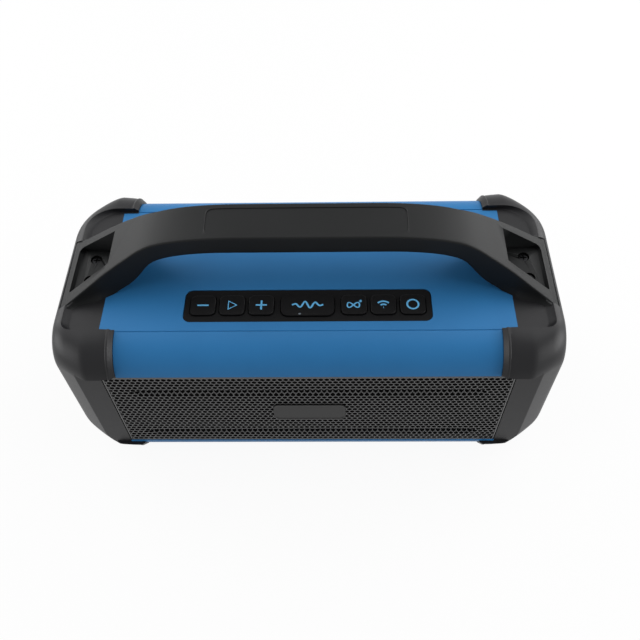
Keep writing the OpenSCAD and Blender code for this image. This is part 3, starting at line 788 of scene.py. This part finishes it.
@dataclass
class EndCap:
    """A black end cap with its corner bumpers."""

    side: Side
    inner_x: float = 121.0
    low_lip: float = 2.0
    lip_edge: float = 0.4
    lip_slope: float = 2.6
    floor_y: float = 51.8
    front_corner: float = 7.0
    rear_corner: float = 20.0
    bumper_z: float = 45.75
    edge: float = 0.9
    screw_y: Flat = (-44.0, 28.0)
    screw_below_top: float = 8.5
    screw_above_bottom: float = 17.0
    screw_floor_x: float = 139.0
    screw_bore: float = 4.3

    def _drawn_in(self, x: float) -> tuple[float, float, float, float]:
        """How far the front, the rear, the top and the underside are drawn in at x."""
        front, rear = taper(x, 139.0, 14.0, 1.12), taper(x, 135.5, 28.4, 1.39)
        end = round_off(x, 158.0, 2.2)
        top, low = round_off(x, ROUND_X, ROUND_DEPTH), round_off(x, 146.0, ROUND_DEPTH)
        return front + end, rear + end, top, low

    def _ring(self, x: float, share: float = 1.0) -> list[Point]:
        """The cap's outline at x, by its share of the way out from the body's outline."""
        front, rear, top, low = self._drawn_in(x)
        t = (x - self.inner_x) / (CAP_X - self.inner_x)
        upper = blend(UPPER_RADIUS, blend(UPPER_RADIUS + LIP, 20.5, t), share)
        lower = blend(LOWER_RADIUS, 27.0 + 9.0 * t ** 1.5, share)
        out = LIP * share
        flat = rounded(-HALF_DEPTH - out + front, HALF_DEPTH + out - rear,
                       BODY_BOTTOM - self.low_lip * share + low, BODY_TOP + out - top,
                       upper, 14, 3, lower)
        return [(x, y, z) for y, z in flat]

    def _form(self) -> Thing:
        """The cap before its recesses are cut."""
        inner = [self._ring(HALF_LEN, 0.01), self._ring(self.inner_x, 0.01)]
        lip = [self._ring(self.inner_x, self.lip_edge)]
        lip += [self._ring(self.inner_x + self.lip_slope + step, share)
                for step, share in ((0.0, 1.04), (0.8, 1.04), (1.5, 0.93), (2.6, 0.97))]
        side = [self._ring(x) for x in (129, 132, 135.5, 137.5, 139.5, 141.5, 143.5, 145.5, 147.5,
                                        149.2, 151)]
        turn = [self._ring(ROUND_X + (CAP_X - ROUND_X) * math.sin(math.radians(a)))
                for a in (9, 18, 27, 36, 45, 53, 60, 66, 72, 78, 84, 90)]
        return Bench.loft(inner + lip + side + turn)

    @staticmethod
    def rim_height(x: float) -> float:
        """Height of the cap's top above the body at x, between the bumpers."""
        rim = [(CAP_FLOOR_X + step, rise) for rise, step in RIM_STEPS]
        if x < rim[-1][0]:
            return along(rim, x)
        return LIP - round_off(x, ROUND_X, ROUND_DEPTH)

    def _floor_cutter(self) -> Thing:
        """The recess on top of the cap, with a rim that slopes up at its outer side."""
        rings = []
        near, far = self.front_corner, self.rear_corner
        for rise, x in (*RIM_STEPS, (12.0, 5.0)):
            limit = CAP_FLOOR_X + x
            flat: list[Flat] = [(100.0, self.floor_y), (100.0, -self.floor_y)]
            for cx, cy, radius, start in ((limit - near, near - self.floor_y, near, -90),
                                          (limit - far, self.floor_y - far, far, 0)):
                flat += [(cx + radius * math.cos(math.radians(start + 9 * i)),
                          cy + radius * math.sin(math.radians(start + 9 * i)))
                         for i in range(11)]
            rings.append([(px, py, BODY_TOP + rise) for px, py in flat])
        return Bench.loft(rings)

    def _foot_cutter(self) -> Thing:
        """The seat that the handle's foot sinks into."""
        stations = [SEAT_X, 145.0, FOOT_X]
        outline = [(x, along(LEG_FRONT, x) - 0.03) for x in stations]
        outline += [(x, along(LEG_REAR, x) + 0.03) for x in (FOOT_X, SEAT_X)]
        return Bench.loft([[(x, y, BODY_TOP + z) for x, y in outline] for z in (-SEAT_DROP, 20.0)])

    def build(self) -> None:
        """Makes the cap and dresses it."""
        obj = self._form()
        Bench.cut(obj, self._floor_cutter(), self._foot_cutter())
        for low, high in ((-100.0, -PANEL_Y), (PANEL_Y, 100.0)):
            Bench.cut(obj, Bench.block((100.0, low, MID_Z - self.bumper_z),
                                       (170.0, high, MID_Z + self.bumper_z)))
        for y in self.screw_y:
            for z in (BODY_TOP - self.screw_below_top, BODY_BOTTOM + self.screw_above_bottom):
                Bench.cut(obj, Bench.rod((self.screw_floor_x, y, z), (170.0, y, z),
                                         self.screw_bore))
        Bench.clean(obj, 0.05, 0.4)
        Bench.soften(obj, self.edge, 38.0)
        if self.side is Side.LEFT:
            obj.data.transform(Matrix.Diagonal((-1, 1, 1, 1)))
            obj.data.flip_normals()
        Bench.smooth(obj, 40.0)
        for way in ((self.side.value, 0, 0), (0, -1, 0), (0, 1, 0), (0, 0, 1)):
            Bench.flatten(obj, way)
        Bench.finish(obj, self.side.word + "_end_cap_moulding", BLACK,
                     stands_for=[self.side.word + "_end_cap"], slot="black_shell")


@dataclass
class CarryHandle:
    """The bridge handle with its flared feet and open screw pockets."""

    rise: float = 45.4
    gap: float = 31.2
    edge: float = 1.3
    bevel: float = 3.4
    bevel_fall: float = 0.16
    flare_height: float = 6.5
    plate: Flat = (125.0, 21.0)
    plate_depth: float = 0.4
    plate_corner: float = 4.0
    screw_bore: float = 3.8
    flare: tuple[Flat, ...] = (
        (119.0, 0.0), (127.0, 1.0), (132.0, 2.1), (137.0, 2.9), (142.0, 2.0), (147.0, 2.0),
        (151.0, 3.3), (154.0, 2.6), (157.0, 1.1), (158.5, 0.0))

    def _top(self, x: float) -> float:
        """Height of the handle's top above the body at a distance x from the middle."""
        bend = bezier(((40.0, self.rise), (80.0, self.rise), (98.0, 39.9), (110.0, 32.0)), 24)
        return along([(0.0, self.rise), *bend, (155.5, 2.2), (157.5, 1.55), (FOOT_X, 0.6)], x)

    def _underside(self, x: float) -> float:
        """Height of the handle's underside above the body at a distance x from the middle."""
        bend = bezier(((50, self.gap), (82, self.gap), (95, 25.5), (101, 20.5)), 16)
        leg = bezier(((101, 20.5), (108, 12), (114, 3), (127, 0)), 16)
        return along([(0.0, self.gap), *bend, *leg, (SEAT_X, 0.0)], x) + 0.02

    def _ring(self, x: float) -> list[Point]:
        """The handle's section at x, up its front, over its top and down its rear."""
        reach = abs(x)
        high, seated = self._top(reach), ease(119.0, 126.0, reach)
        low = base = self._underside(reach)
        if reach > SEAT_X + 0.05:
            low, base = 0.05 - SEAT_DROP, min(EndCap.rim_height(reach), high - 0.8)
        out = along(self.flare, reach)
        foot = blend(low + 0.9, base + 0.03, seated)
        turn = min(self.edge, 0.4 * (high - foot))
        side = [(blend(1.3, 0.15, seated), low),
                (blend(0.45, 0.12, seated), blend(low + 0.3, base + 0.01, seated)),
                (blend(0.08, -out, seated), foot)]
        for share in (0.2, 0.42, 0.64, 0.86):
            z = blend(foot, high - turn, share)
            side.append((-out * max(0.0, 1 - (z - base) / self.flare_height) ** 2, z))
        for angle in (0.0, 30.0, 60.0):
            a = math.radians(angle)
            side.append((turn * (1 - math.cos(a)), high - turn * (1 - math.sin(a)) - 0.06 * turn))
        side += [(turn, high - self.bevel_fall), (self.bevel, high)]
        front, rear = along(LEG_FRONT, reach), along(LEG_REAR, reach)
        points = [(x, front + inset, BODY_TOP + z) for inset, z in side]
        return points + [(x, rear - inset, BODY_TOP + z) for inset, z in reversed(side)]

    def _pocket(self, side: Side) -> Thing:
        """The open pocket over the screws of one foot."""
        floor = [(124.0, -12.6), (152.0, -21.1), (152.9, -20.2), (153.0, 12.0), (152.6, 13.9),
                 (151.4, 15.2), (149.5, 15.6), (124.0, 13.2)]
        rim = [(126.1, -13.4), (154.0, -22.6), (155.1, -21.6), (155.0, 11.0), (154.4, 13.0),
               (153.0, 14.4), (151.0, 14.9), (126.3, 14.1)]
        rings = []
        for z, share in ((0.35, 0.0), (3.2, 1.0), (60.0, 1.15)):
            outline = [(blend(a[0], b[0], share), blend(a[1], b[1], share))
                       for a, b in zip(floor, rim)]
            rings.append([(side.value * px, py, BODY_TOP + z) for px, py in outline])
        return Bench.loft(rings)

    def _plate(self) -> Thing:
        """A cutter for the bare plate's shallow recess, which follows the strap's top."""
        half_x, half_y, corner = self.plate[0] / 2, self.plate[1] / 2, self.plate_corner
        rings = []
        for i in range(25):
            angle = math.radians(180.0 - 7.5 * i)
            x = (half_x - 0.02) * math.cos(angle)
            past = max(0.0, abs(x) - (half_x - corner))
            y = half_y - corner + math.sqrt(corner ** 2 - past ** 2)
            z = BODY_TOP + self._top(abs(x)) - self.plate_depth
            rings.append([(x, -y, z), (x, y, z), (x, y, z + 6), (x, -y, z + 6)])
        return Bench.loft(rings)

    def build(self) -> None:
        """Makes the handle and dresses it."""
        stations = [0, 20, 40, 46, 52, 58, 63, 68, 73, 78, 82, 86, 90, 94, 97, 100, 103, 106, 109,
                    112, 115, 118, 121, 124, 127, 130, SEAT_X, SEAT_X + 0.1, 137, 141, 145, 148,
                    150.3, 152, 153.5, 155, 156, 157, 158, FOOT_X]
        places = [-x for x in reversed(stations[1:])] + stations
        obj = Bench.loft([self._ring(x) for x in places])
        for side in Side:
            Bench.cut(obj, self._pocket(side))
            for reach, y in HANDLE_SCREWS:
                x = side.value * reach
                Bench.cut(obj, Bench.rod((x, y, BODY_TOP - SCREW_DROP), (x, y, BODY_TOP + 20),
                                         self.screw_bore))
        Bench.cut(obj, self._plate())
        Bench.clean(obj, 0.02, 0.2)
        Bench.soften(obj, 0.45, 42.0)
        Bench.smooth(obj, 40.0)
        Bench.flatten(obj, (0, 0, 1), 15.0, BODY_TOP + 1.0)
        Bench.finish(obj, "handle_moulding", HANDLE_BLACK, stands_for=["handle"],
                     slot="handle_plastic")


@dataclass
class HandleScrews:
    """The four pan-head screws in the handle's feet, with crossed recesses."""

    seat: float = BODY_TOP - SCREW_DROP
    head_r: float = 3.5
    head_h: float = 2.0
    slot_half: Flat = (2.2, 0.45)

    def _screw(self) -> Thing:
        """One screw, standing at the origin."""
        head = Bench.rod((0, 0, 0), (0, 0, self.head_h), self.head_r, 28)
        Bench.soften(head, 0.8, 60.0)
        long, thin = self.slot_half
        Bench.cut(head, *(Bench.block((-x, -y, 0.9), (x, y, 4.0))
                          for x, y in ((long, thin), (thin, long))))
        shank = Bench.rod((0, 0, -18), (0, 0, 0.2), 1.9, 20)
        return Bench.smooth(Bench.join([head, shank]))

    def build(self) -> None:
        """Makes the screws as one piece and dresses it."""
        first = self._screw()
        made = [Bench.twin(first, Matrix.Translation((side.value * x, y, self.seat)))
                for side in Side for x, y in HANDLE_SCREWS]
        bpy.data.objects.remove(first)
        Bench.finish(Bench.join(made), "handle_screw_set", DARK_STEEL,
                     stands_for=["handle_screws"], slot="screw_steel")


@dataclass
class FootPads:
    """Rubber pads with grip grooves under the end caps."""

    size: Flat = (23.4, 13.4)
    x: float = 136.0
    y: float = 40.0
    height: float = 2.7

    def build(self) -> None:
        """Makes the pads as one piece and dresses it."""
        pad = Bench.plate(self.size, 3.8, 0.0, self.height)
        for y in (-3.6, 0.0, 3.6):
            Bench.cut(pad, Bench.block((-8.5, y - 0.5, -1.0), (8.5, y + 0.5, 0.5)))
        Bench.soften(pad, 0.25, 50.0, 2)
        made = [Bench.twin(pad, Matrix.Translation((sx * self.x, sy * self.y, 0)))
                for sx in (-1, 1) for sy in (-1, 1)]
        bpy.data.objects.remove(pad)
        Bench.finish(Bench.smooth(Bench.join(made)), "foot_pad_set", RUBBER,
                     stands_for=["foot_pads"], slot="foot_rubber")


# ---------------------------------------------------------------------------- the keypad


class Symbol(Enum):
    """What each key shows."""

    MINUS = "key_minus"
    PLAY = "key_play"
    PLUS = "key_plus"
    WAVE = "key_bass"
    LINK = "key_pair"
    WIRELESS = "key_wireless"
    POWER = "key_power"

    @property
    def body(self) -> str:
        """The body that the key moves with."""
        return self.value.removeprefix("key_") + "_key"

    def strokes(self) -> list[tuple[list[Flat], bool]]:
        """The symbol's lines about its middle, each with True if it is closed."""
        if self is Symbol.MINUS:
            return [([(-3.6, 0), (3.6, 0)], False)]
        if self is Symbol.PLUS:
            return [([(-3.6, 0), (3.6, 0)], False), ([(0, -3.6), (0, 3.6)], False)]
        if self is Symbol.PLAY:
            return [([(-2.4, -3.2), (-2.4, 3.2), (2.9, 0)], True)]
        if self is Symbol.WAVE:
            return [([(-10 + i * 0.5, 2.6 * math.sin(math.radians(i * 27))
                       * math.sin(math.radians(i * 4.5))) for i in range(41)], False)]
        if self is Symbol.LINK:
            loops = [(3.9 * math.sin(a) - 0.4, 2.2 * math.sin(2 * a) * 0.9 - 0.4)
                     for a in (math.radians(i * 12) for i in range(30))]
            return [(loops, True), ([(3.2, 2.6), (5.2, 2.6)], False),
                    ([(4.2, 1.6), (4.2, 3.6)], False)]
        if self is Symbol.WIRELESS:
            arcs = []
            for radius in (2.6, 5.0):
                arcs.append(([(radius * math.sin(math.radians(a)),
                               radius * math.cos(math.radians(a)) - 2.6)
                              for a in range(-44, 45, 8)], False))
            return arcs + [([(-0.15, -2.4), (0.15, -2.4)], False)]
        return [([(3.6 * math.cos(math.radians(a)), 3.6 * math.sin(math.radians(a)))
                  for a in range(0, 360, 12)], True)]


@dataclass
class Keypad:
    """The dark frame on top with its seven keys and their symbols."""

    y: float = -31.65
    frame: Flat = (158.3, 25.2)
    frame_radius: float = 4.85
    frame_flange: float = 3.1
    key_flange: float = 0.8
    first_x: float = 29.6
    pitch: float = 18.7
    small: Flat = (16.0, 15.2)
    wide: Flat = (34.0, 17.2)
    proud: float = 0.9
    line: float = 1.15
    gap: float = 0.3
    light: Flat = (-5.0, -6.7)
    light_bore: float = 1.05
    dish: float = 0.22
    thin_line: float = 0.75

    def _spot(self, symbol: Symbol) -> tuple[float, Flat, float]:
        """Where a key is, its size and its corner radius."""
        number = list(Symbol).index(symbol)
        if symbol is Symbol.WAVE:
            return 0.0, self.wide, 5.0
        steps = 2 - number if number < 3 else number - 4
        x = self.first_x + steps * self.pitch
        return (-x if number < 3 else x), self.small, 3.5

    def _frame(self) -> None:
        """The frame: a plug in the window with a flange below, open at each key."""
        low = BODY_TOP - 4.2
        frame = Bench.plate(self.frame, self.frame_radius, low, BODY_TOP - 0.15, (0, self.y))
        for symbol in Symbol:
            x, size, radius = self._spot(symbol)
            grown = (size[0] + 2 * self.gap, size[1] + 2 * self.gap)
            Bench.cut(frame, Bench.plate(grown, radius + self.gap, low - 1, BODY_TOP + 1,
                                         (x, self.y)))
        Bench.soften(frame, 0.5, 50.0)
        outer = (self.frame[0] + 2 * self.frame_flange, self.frame[1] + 2 * self.frame_flange)
        rim = Bench.plate(outer, self.frame_radius, low, BODY_TOP - 3.02, (0, self.y))
        Bench.cut(rim, Bench.plate((self.frame[0] - 1, self.frame[1] - 1), self.frame_radius,
                                   low - 1, BODY_TOP, (0, self.y)))
        Bench.finish(Bench.smooth(Bench.join([frame, rim])), "keypad_frame_moulding", KEY_BLACK,
                     stands_for=["keypad_frame"], slot="black_shell")

    def _light_cutter(self, low: float, high: float) -> Thing:
        """A cutter for the light's bore through the wide key."""
        x, y = self.light[0], self.y + self.light[1]
        return Bench.rod((x, y, low), (x, y, high), self.light_bore, 20)

    def _key(self, symbol: Symbol) -> None:
        """One key with a dished top, and its symbol."""
        x, size, radius = self._spot(symbol)
        under = BODY_TOP - 5.2
        key = Bench.plate(size, radius, under, BODY_TOP + self.proud, (x, self.y))
        top = BODY_TOP + self.proud
        with Bench.editing(key) as mesh:
            for face in mesh.faces:
                if face.normal.z > 0.9 and face.calc_center_median().z > top - 0.1:
                    face.select_set(True)
            bpy.ops.mesh.inset(thickness=0.7)
            bpy.ops.mesh.inset(thickness=0.9, depth=-self.dish)
        if symbol is Symbol.WAVE:
            Bench.cut(key, self._light_cutter(under - 1, top + 1))
        Bench.soften(key, 0.4, 40.0)
        out = self.key_flange
        flange = Bench.plate((size[0] + 2 * out, size[1] + 2 * out), radius + out, under,
                             under + out, (x, self.y))
        if symbol is Symbol.WAVE:
            Bench.cut(flange, self._light_cutter(under - 1, under + 2))
        stem = Bench.rod((x, self.y, under - 1.4), (x, self.y, under + 0.2), 2.0, 24)
        Bench.finish(Bench.smooth(Bench.join([key, flange, stem])), symbol.value + "_cap",
                     KEY_BLACK, symbol.body, [symbol.value], "key_plastic")
        width = self.line * (self.thin_line if symbol is Symbol.LINK else 1.0)
        lines = [Bench.stroke(points, width, top - self.dish, closed)
                 for points, closed in symbol.strokes()]
        mark = Bench.join(lines)
        mark.data.transform(Matrix.Translation((x, self.y, 0)))
        Bench.finish(mark, symbol.value + "_symbol", SYMBOL_BLUE, symbol.body)

    def build(self) -> None:
        """Makes the keypad and dresses it."""
        self._frame()
        for symbol in Symbol:
            self._key(symbol)


# ---------------------------------------------------------------------------- the grilles


@dataclass
class Perforation:
    """Sheet steel with staggered hexagonal holes."""

    pitch: float = 3.7
    hole: float = 3.15
    thickness: float = 0.35

    def sheet(self, columns: int, rows: int) -> Thing:
        """Makes a sheet on XY about the origin, from one cell that is repeated.

        Args:
            columns: Cells in a row.
            rows: Pairs of rows.

        Returns:
            The sheet, its face at Z = 0 and its back below.
        """
        corner = self.pitch / math.sqrt(3)
        inner = self.hole / math.sqrt(3)
        Bench.clear()
        bpy.ops.mesh.primitive_circle_add(vertices=6, radius=corner, fill_type="NGON")
        cell = bpy.context.object
        with Bench.editing(cell, True):
            bpy.ops.mesh.inset(thickness=(corner - inner) * math.cos(math.pi / 6))
            bpy.ops.mesh.delete(type="FACE")
            bpy.ops.mesh.select_all(action="SELECT")
            bpy.ops.mesh.extrude_region_move(
                TRANSFORM_OT_translate={"value": (0, 0, -self.thickness)})
        with Bench.editing(cell) as mesh:
            for face in mesh.faces:
                middle = face.calc_center_median()
                if abs(face.normal.z) < 0.5 and middle.xy.length > (corner + inner) / 2 * 0.9:
                    face.select_set(True)
            bpy.ops.mesh.delete(type="ONLY_FACE")
        row = corner * 1.5
        second = Bench.twin(cell, Matrix.Translation((self.pitch / 2, row, 0)))
        pair = Bench.join([cell, second])
        for count, step in ((columns, (self.pitch, 0, 0)), (rows, (0, 2 * row, 0))):
            Bench.modify(pair, "ARRAY", count=count, use_relative_offset=False,
                         use_constant_offset=True, constant_offset_displace=step,
                         use_merge_vertices=True, merge_threshold=0.01)
        pair.data.transform(Matrix.Translation((-(columns - 0.5) * self.pitch / 2,
                                                -(rows - 0.5) * row, 0)))
        with Bench.editing(pair, True):
            bpy.ops.mesh.remove_doubles(threshold=0.01)
            bpy.ops.mesh.normals_make_consistent(inside=False)
        return pair

    @staticmethod
    def trim(sheet: Thing, half_x: float, half_y: float) -> Thing:
        """Cuts a sheet to a rectangle and closes the cut."""
        for normal, reach in (((1, 0, 0), half_x), ((-1, 0, 0), half_x), ((0, 1, 0), half_y),
                              ((0, -1, 0), half_y)):
            with Bench.editing(sheet, True):
                bpy.ops.mesh.bisect(plane_co=Vector(normal) * reach, plane_no=normal,
                                    clear_outer=True, use_fill=True)
        return sheet


@dataclass
class FrontGrille:
    """The perforated front with its pressed grooves and its badge."""

    half_x: float = 130.6
    half_z: float = 43.15
    groove_z: Flat = (24.25, -29.75)
    groove_half: float = 2.6
    groove_reach: float = 117.0
    groove_depth: float = 1.6
    badge: Flat = (48.4, 19.4)
    badge_z: float = 65.3
    badge_proud: float = 0.9

    def _press(self, sheet: Thing) -> None:
        """Presses the two grooves into the sheet."""
        for vertex in sheet.data.vertices:
            for z in self.groove_z:
                reach = min(1.0, max(0.0, (self.groove_reach - abs(vertex.co.x)) / 7.0))
                width = self.groove_half * reach + 0.01
                share = max(0.0, 1 - (abs(vertex.co.y - z) / width) ** 2)
                vertex.co.z -= self.groove_depth * share

    def _sheet(self) -> None:
        """The sheet and the edge that is folded back round it."""
        holes = Perforation()
        sheet = holes.trim(holes.sheet(72, 14), self.half_x - 0.9, self.half_z - 0.9)
        self._press(sheet)
        x, y = self.half_x, self.half_z
        edge = Bench.loft([
            [(sx * (x - d), sy * (y - d), h) for sx, sy in ((1, 1), (-1, 1), (-1, -1), (1, -1))]
            for d, h in ((0.0, -0.35), (0.35, 0.0), (1.0, 0.0), (1.0, -5.0), (0.0, -5.0))],
            closed=True)
        whole = Bench.join([sheet, edge])
        whole.data.transform(Matrix.Translation((0, -PANEL_Y, MID_Z)) @ Plane.FRONT.matrix)
        Bench.finish(Bench.shade(whole), "front_grille_sheet", GRILLE_PAINT,
                     stands_for=["front_grille"], slot="grille_steel")

    def _badge(self) -> None:
        """The bare badge with a raised border."""
        plate = Bench.plate(self.badge, 4.0, PANEL_Y, PANEL_Y + self.badge_proud)
        with Bench.editing(plate) as mesh:
            for face in mesh.faces:
                if face.normal.z > 0.9:
                    face.select_set(True)
            bpy.ops.mesh.inset(thickness=0.9)
            bpy.ops.mesh.inset(thickness=0.3, depth=-0.25)
        Bench.soften(plate, 0.2, 30.0, 2)
        plate.data.transform(Plane.FRONT.matrix)
        plate.data.transform(Matrix.Translation((0, 0, self.badge_z)))
        Bench.finish(Bench.smooth(plate), "badge_plate_blank", BADGE_PAINT,
                     stands_for=["badge_plate"], slot="badge_metal")

    def build(self) -> None:
        """Makes the front and dresses it."""
        self._sheet()
        self._badge()


@dataclass
class RearFace:
    """The rear panel with its radiator grille, and the flap over the sockets."""

    grille_x: float = -22.0
    grille_half: Flat = (77.8, 32.8)
    port_x: float = 94.0

    def _grille(self) -> None:
        """The slot-shaped perforated grille."""
        holes = Perforation()
        sheet = holes.sheet(46, 12)
        outline = Bench.plate((2 * self.grille_half[0] - 2, 2 * self.grille_half[1] - 2),
                              self.grille_half[1] - 1, -3.0, 3.0, steps=20)
        Bench.modify(sheet, "BOOLEAN", operation="INTERSECT", solver="EXACT", object=outline)
        bpy.data.objects.remove(outline)
        rings = []
        for d, h in ((0.0, -0.3), (0.3, 0.0), (1.4, 0.0), (1.4, -1.0), (0.0, -1.0)):
            half_x, half_y = self.grille_half[0] - d, self.grille_half[1] - d
            rings.append([(px, py, h) for px, py in
                          rounded(-half_x, half_x, -half_y, half_y, half_y - 0.01, 20)])
        whole = Bench.join([sheet, Bench.loft(rings, closed=True)])
        whole.data.transform(Matrix.Translation((self.grille_x, PANEL_Y, MID_Z))
                             @ Plane.REAR.matrix)
        Bench.finish(Bench.shade(whole), "rear_grille_sheet", GRILLE_PAINT,
                     stands_for=["rear_grille"], slot="grille_steel")

    def _flap(self) -> None:
        """The port flap with a grip ridge along its top."""
        flap = Bench.from_node("port_cover", 0.3)
        grip = Bench.plate((16.0, 2.4), 1.15, 0.0, 1.0, steps=6)
        Bench.soften(grip, 0.35, 50.0, 2)
        grip.data.transform(Matrix.Translation((self.port_x, PANEL_Y - 0.2, MID_Z + 19.0))
                            @ Plane.REAR.matrix)
        Bench.finish(Bench.smooth(Bench.join([flap, grip])), "port_flap_moulding", RUBBER,
                     "port_flap", ["port_cover"], "flap_rubber")

    def build(self) -> None:
        """Makes the rear and dresses it."""
        Bench.finish(Bench.from_node("rear_panel", 0.35), "rear_panel_moulding", BLACK,
                     stands_for=["rear_panel"], slot="black_shell")
        self._grille()
        self._flap()


# ---------------------------------------------------------------------------- the inside


class Insides:
    """The CAD nodes that keep their own shape, with a finish for each."""

    FINISHES: dict[str, Finish] = {
        "end_cap_screws": BLACK_STEEL, "body_screws": BLACK_STEEL,
        "rear_panel_screws": BLACK_STEEL, "driver_screws": BLACK_STEEL,
        "inside_screws": BRIGHT_STEEL, "port_cover_pin": BRIGHT_STEEL,
        "grille_cloth": CLOTH, "key_board": BOARD, "key_switches": SWITCH,
        "status_light": LIGHT_GUIDE, "driver_gaskets": RUBBER, "radiator_frame": TRAY,
        "radiator_plate": CONE_PAPER, "radiator_surround": SURROUND_RUBBER, "io_board": BOARD,
        "charge_socket": BRIGHT_STEEL, "aux_jack": TRAY, "main_board": BOARD, "heat_sink": ALLOY,
        "capacitors": SLEEVE, "wireless_module": TIN, "board_connectors": NYLON,
        "battery_tray": TRAY, "battery_cells": CELL_WRAP, "battery_clamp": TRAY,
    }
    DRIVER: dict[str, Finish] = {
        "driver_frame": BASKET_PAINT, "driver_magnet": FERRITE, "cone": CONE_PAPER,
        "voice_coil": COPPER, "surround": SURROUND_RUBBER, "spider": SPIDER_CLOTH,
    }

    def build(self) -> None:
        """Dresses the nodes."""
        chosen = dict(self.FINISHES)
        for side in Side:
            chosen |= {f"{side.word}_{part}": finish for part, finish in self.DRIVER.items()}
        for node, finish in chosen.items():
            obj = FRAME["nodes"][node]
            obj.data.materials.clear()
            obj.data.materials.append(finish.make())
            LOG.info("%s: %s", node, finish.name)


# ---------------------------------------------------------------------------- the studio


@dataclass(frozen=True)
class Lamp:
    """A soft square lamp, with its places and its width in metres and its power in watts."""

    name: str
    at: Point
    size: float
    power: float
    aim_z: float = 0.1

    def light(self) -> None:
        """Hangs the lamp up, facing the middle of the object."""
        data = bpy.data.lights.new(self.name, "AREA")
        data.shape, data.size, data.energy = "SQUARE", self.size, self.power
        lamp = bpy.data.objects.new(self.name, data)
        lamp.location = self.at
        away = Vector(self.at) - Vector((0, 0, self.aim_z))
        lamp.rotation_euler = away.to_track_quat("Z", "Y").to_euler()
        bpy.context.scene.collection.objects.link(lamp)


@dataclass
class Studio:
    """A pale floor, soft light and the camera."""

    camera_at: Point = (17.816, -313.163, 506.593)
    aim: Point = (7.987, -43.256, 129.0)
    roll: float = -2.0069
    lens: float = 41.482
    sensor: float = 36.0
    fill_light: float = 0.2
    floor_grey: float = 0.72
    floor_share: float = 0.93
    lamps: tuple[Lamp, ...] = (
        Lamp("left_overhead", (-0.6, 0.35, 1.25), 1.1, 5.2),
        Lamp("right_overhead", (0.6, 0.35, 1.25), 1.1, 7.3),
        Lamp("left_rear", (-1.1, 0.8, 0.6), 0.9, 8.5),
        Lamp("right_rear", (1.1, 0.8, 0.6), 0.9, 9.5),
        Lamp("left_side", (-1.25, -0.25, 0.4), 0.8, 9.8, 0.08),
        Lamp("right_side", (1.25, -0.25, 0.4), 0.8, 12.8, 0.08))

    @staticmethod
    def _white_to_view(graph: Graph) -> Node:
        """A node that is 1 for rays that show the backdrop, straight or in gloss and glass."""
        path = graph.add("LightPath")
        first, second = graph.add("Math", "MAXIMUM"), graph.add("Math", "MAXIMUM")
        graph.link(path, "Is Camera Ray", first, 0)
        graph.link(path, "Is Glossy Ray", first, 1)
        graph.link(first, "Value", second, 0)
        graph.link(path, "Is Transmission Ray", second, 1)
        return second

    def camera(self) -> None:
        """Sets up the camera."""
        eye, aim = Vector(self.camera_at), Vector(self.aim)
        back = (eye - aim).normalized()
        right = Vector((0, 0, 1)).cross(back).normalized()
        up = back.cross(right)
        turn = math.radians(self.roll)
        right, up = (right * math.cos(turn) + up * math.sin(turn),
                     up * math.cos(turn) - right * math.sin(turn))
        data = bpy.data.cameras.new("camera")
        data.lens, data.sensor_width = self.lens, self.sensor
        data.clip_start, data.clip_end = 0.01, 20.0
        camera = bpy.data.objects.new("camera", data)
        camera.matrix_world = Matrix((
            (right.x, up.x, back.x, eye.x * MM), (right.y, up.y, back.y, eye.y * MM),
            (right.z, up.z, back.z, eye.z * MM), (0, 0, 0, 1)))
        bpy.context.scene.collection.objects.link(camera)
        bpy.context.scene.camera = camera

    def world(self) -> None:
        """A white surround that lights the object softly."""
        world = bpy.data.worlds.new("studio")
        bpy.context.scene.world = world
        graph = Graph(world)
        surround = graph.fill(graph.tree.nodes["Background"], Color=(1, 1, 1, 1),
                              Strength=self.fill_light)
        seen = graph.add("Background", Color=(1, 1, 1, 1), Strength=1.0)
        mix = graph.add("MixShader")
        graph.link(self._white_to_view(graph), "Value", mix, "Fac")
        graph.link(surround, "Background", mix, 1)
        graph.link(seen, "Background", mix, 2)
        graph.link(mix, "Shader", graph.tree.nodes["World Output"], "Surface")

    def floor(self) -> None:
        """A plain floor that looks white and keeps a faint shadow."""
        Bench.clear()
        bpy.ops.mesh.primitive_plane_add(size=12.0, location=(0, 0, -0.0002))
        floor = bpy.context.object
        floor.name = "studio_floor"
        material = bpy.data.materials.new("studio_floor")
        graph = Graph(material)
        shader = graph.fill(graph.tree.nodes["Principled BSDF"],
                            Base_Color=(*[self.floor_grey] * 3, 1), Roughness=0.9,
                            Specular_IOR_Level=0.1)
        white = graph.add("Emission", Strength=1.0)
        mix = graph.add("MixShader")
        view = self._white_to_view(graph)
        share = graph.add("Math", "MULTIPLY")
        share.inputs[1].default_value = self.floor_share
        graph.link(view, "Value", share, 0)
        graph.link(share, "Value", mix, "Fac")
        graph.link(shader, "BSDF", mix, 1)
        graph.link(white, "Emission", mix, 2)
        graph.link(mix, "Shader", graph.tree.nodes["Material Output"], "Surface")
        floor.data.materials.append(material)

    def build(self) -> None:
        """Sets up the floor, lamps and camera."""
        bpy.context.scene.view_settings.view_transform = "Standard"
        self.camera()
        self.world()
        self.floor()
        for lamp in self.lamps:
            lamp.light()


# ---------------------------------------------------------------------------- the whole

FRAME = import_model()


def main() -> None:
    """Builds every sub-assembly."""
    logging.basicConfig(level=logging.INFO, format="%(message)s")
    Studio().build()
    Insides().build()
    Shells().build()
    for side in Side:
        EndCap(side).build()
    CarryHandle().build()
    HandleScrews().build()
    FootPads().build()
    Keypad().build()
    FrontGrille().build()
    RearFace().build()
    Bench.clear()


if __name__ == "__main__":
    main()
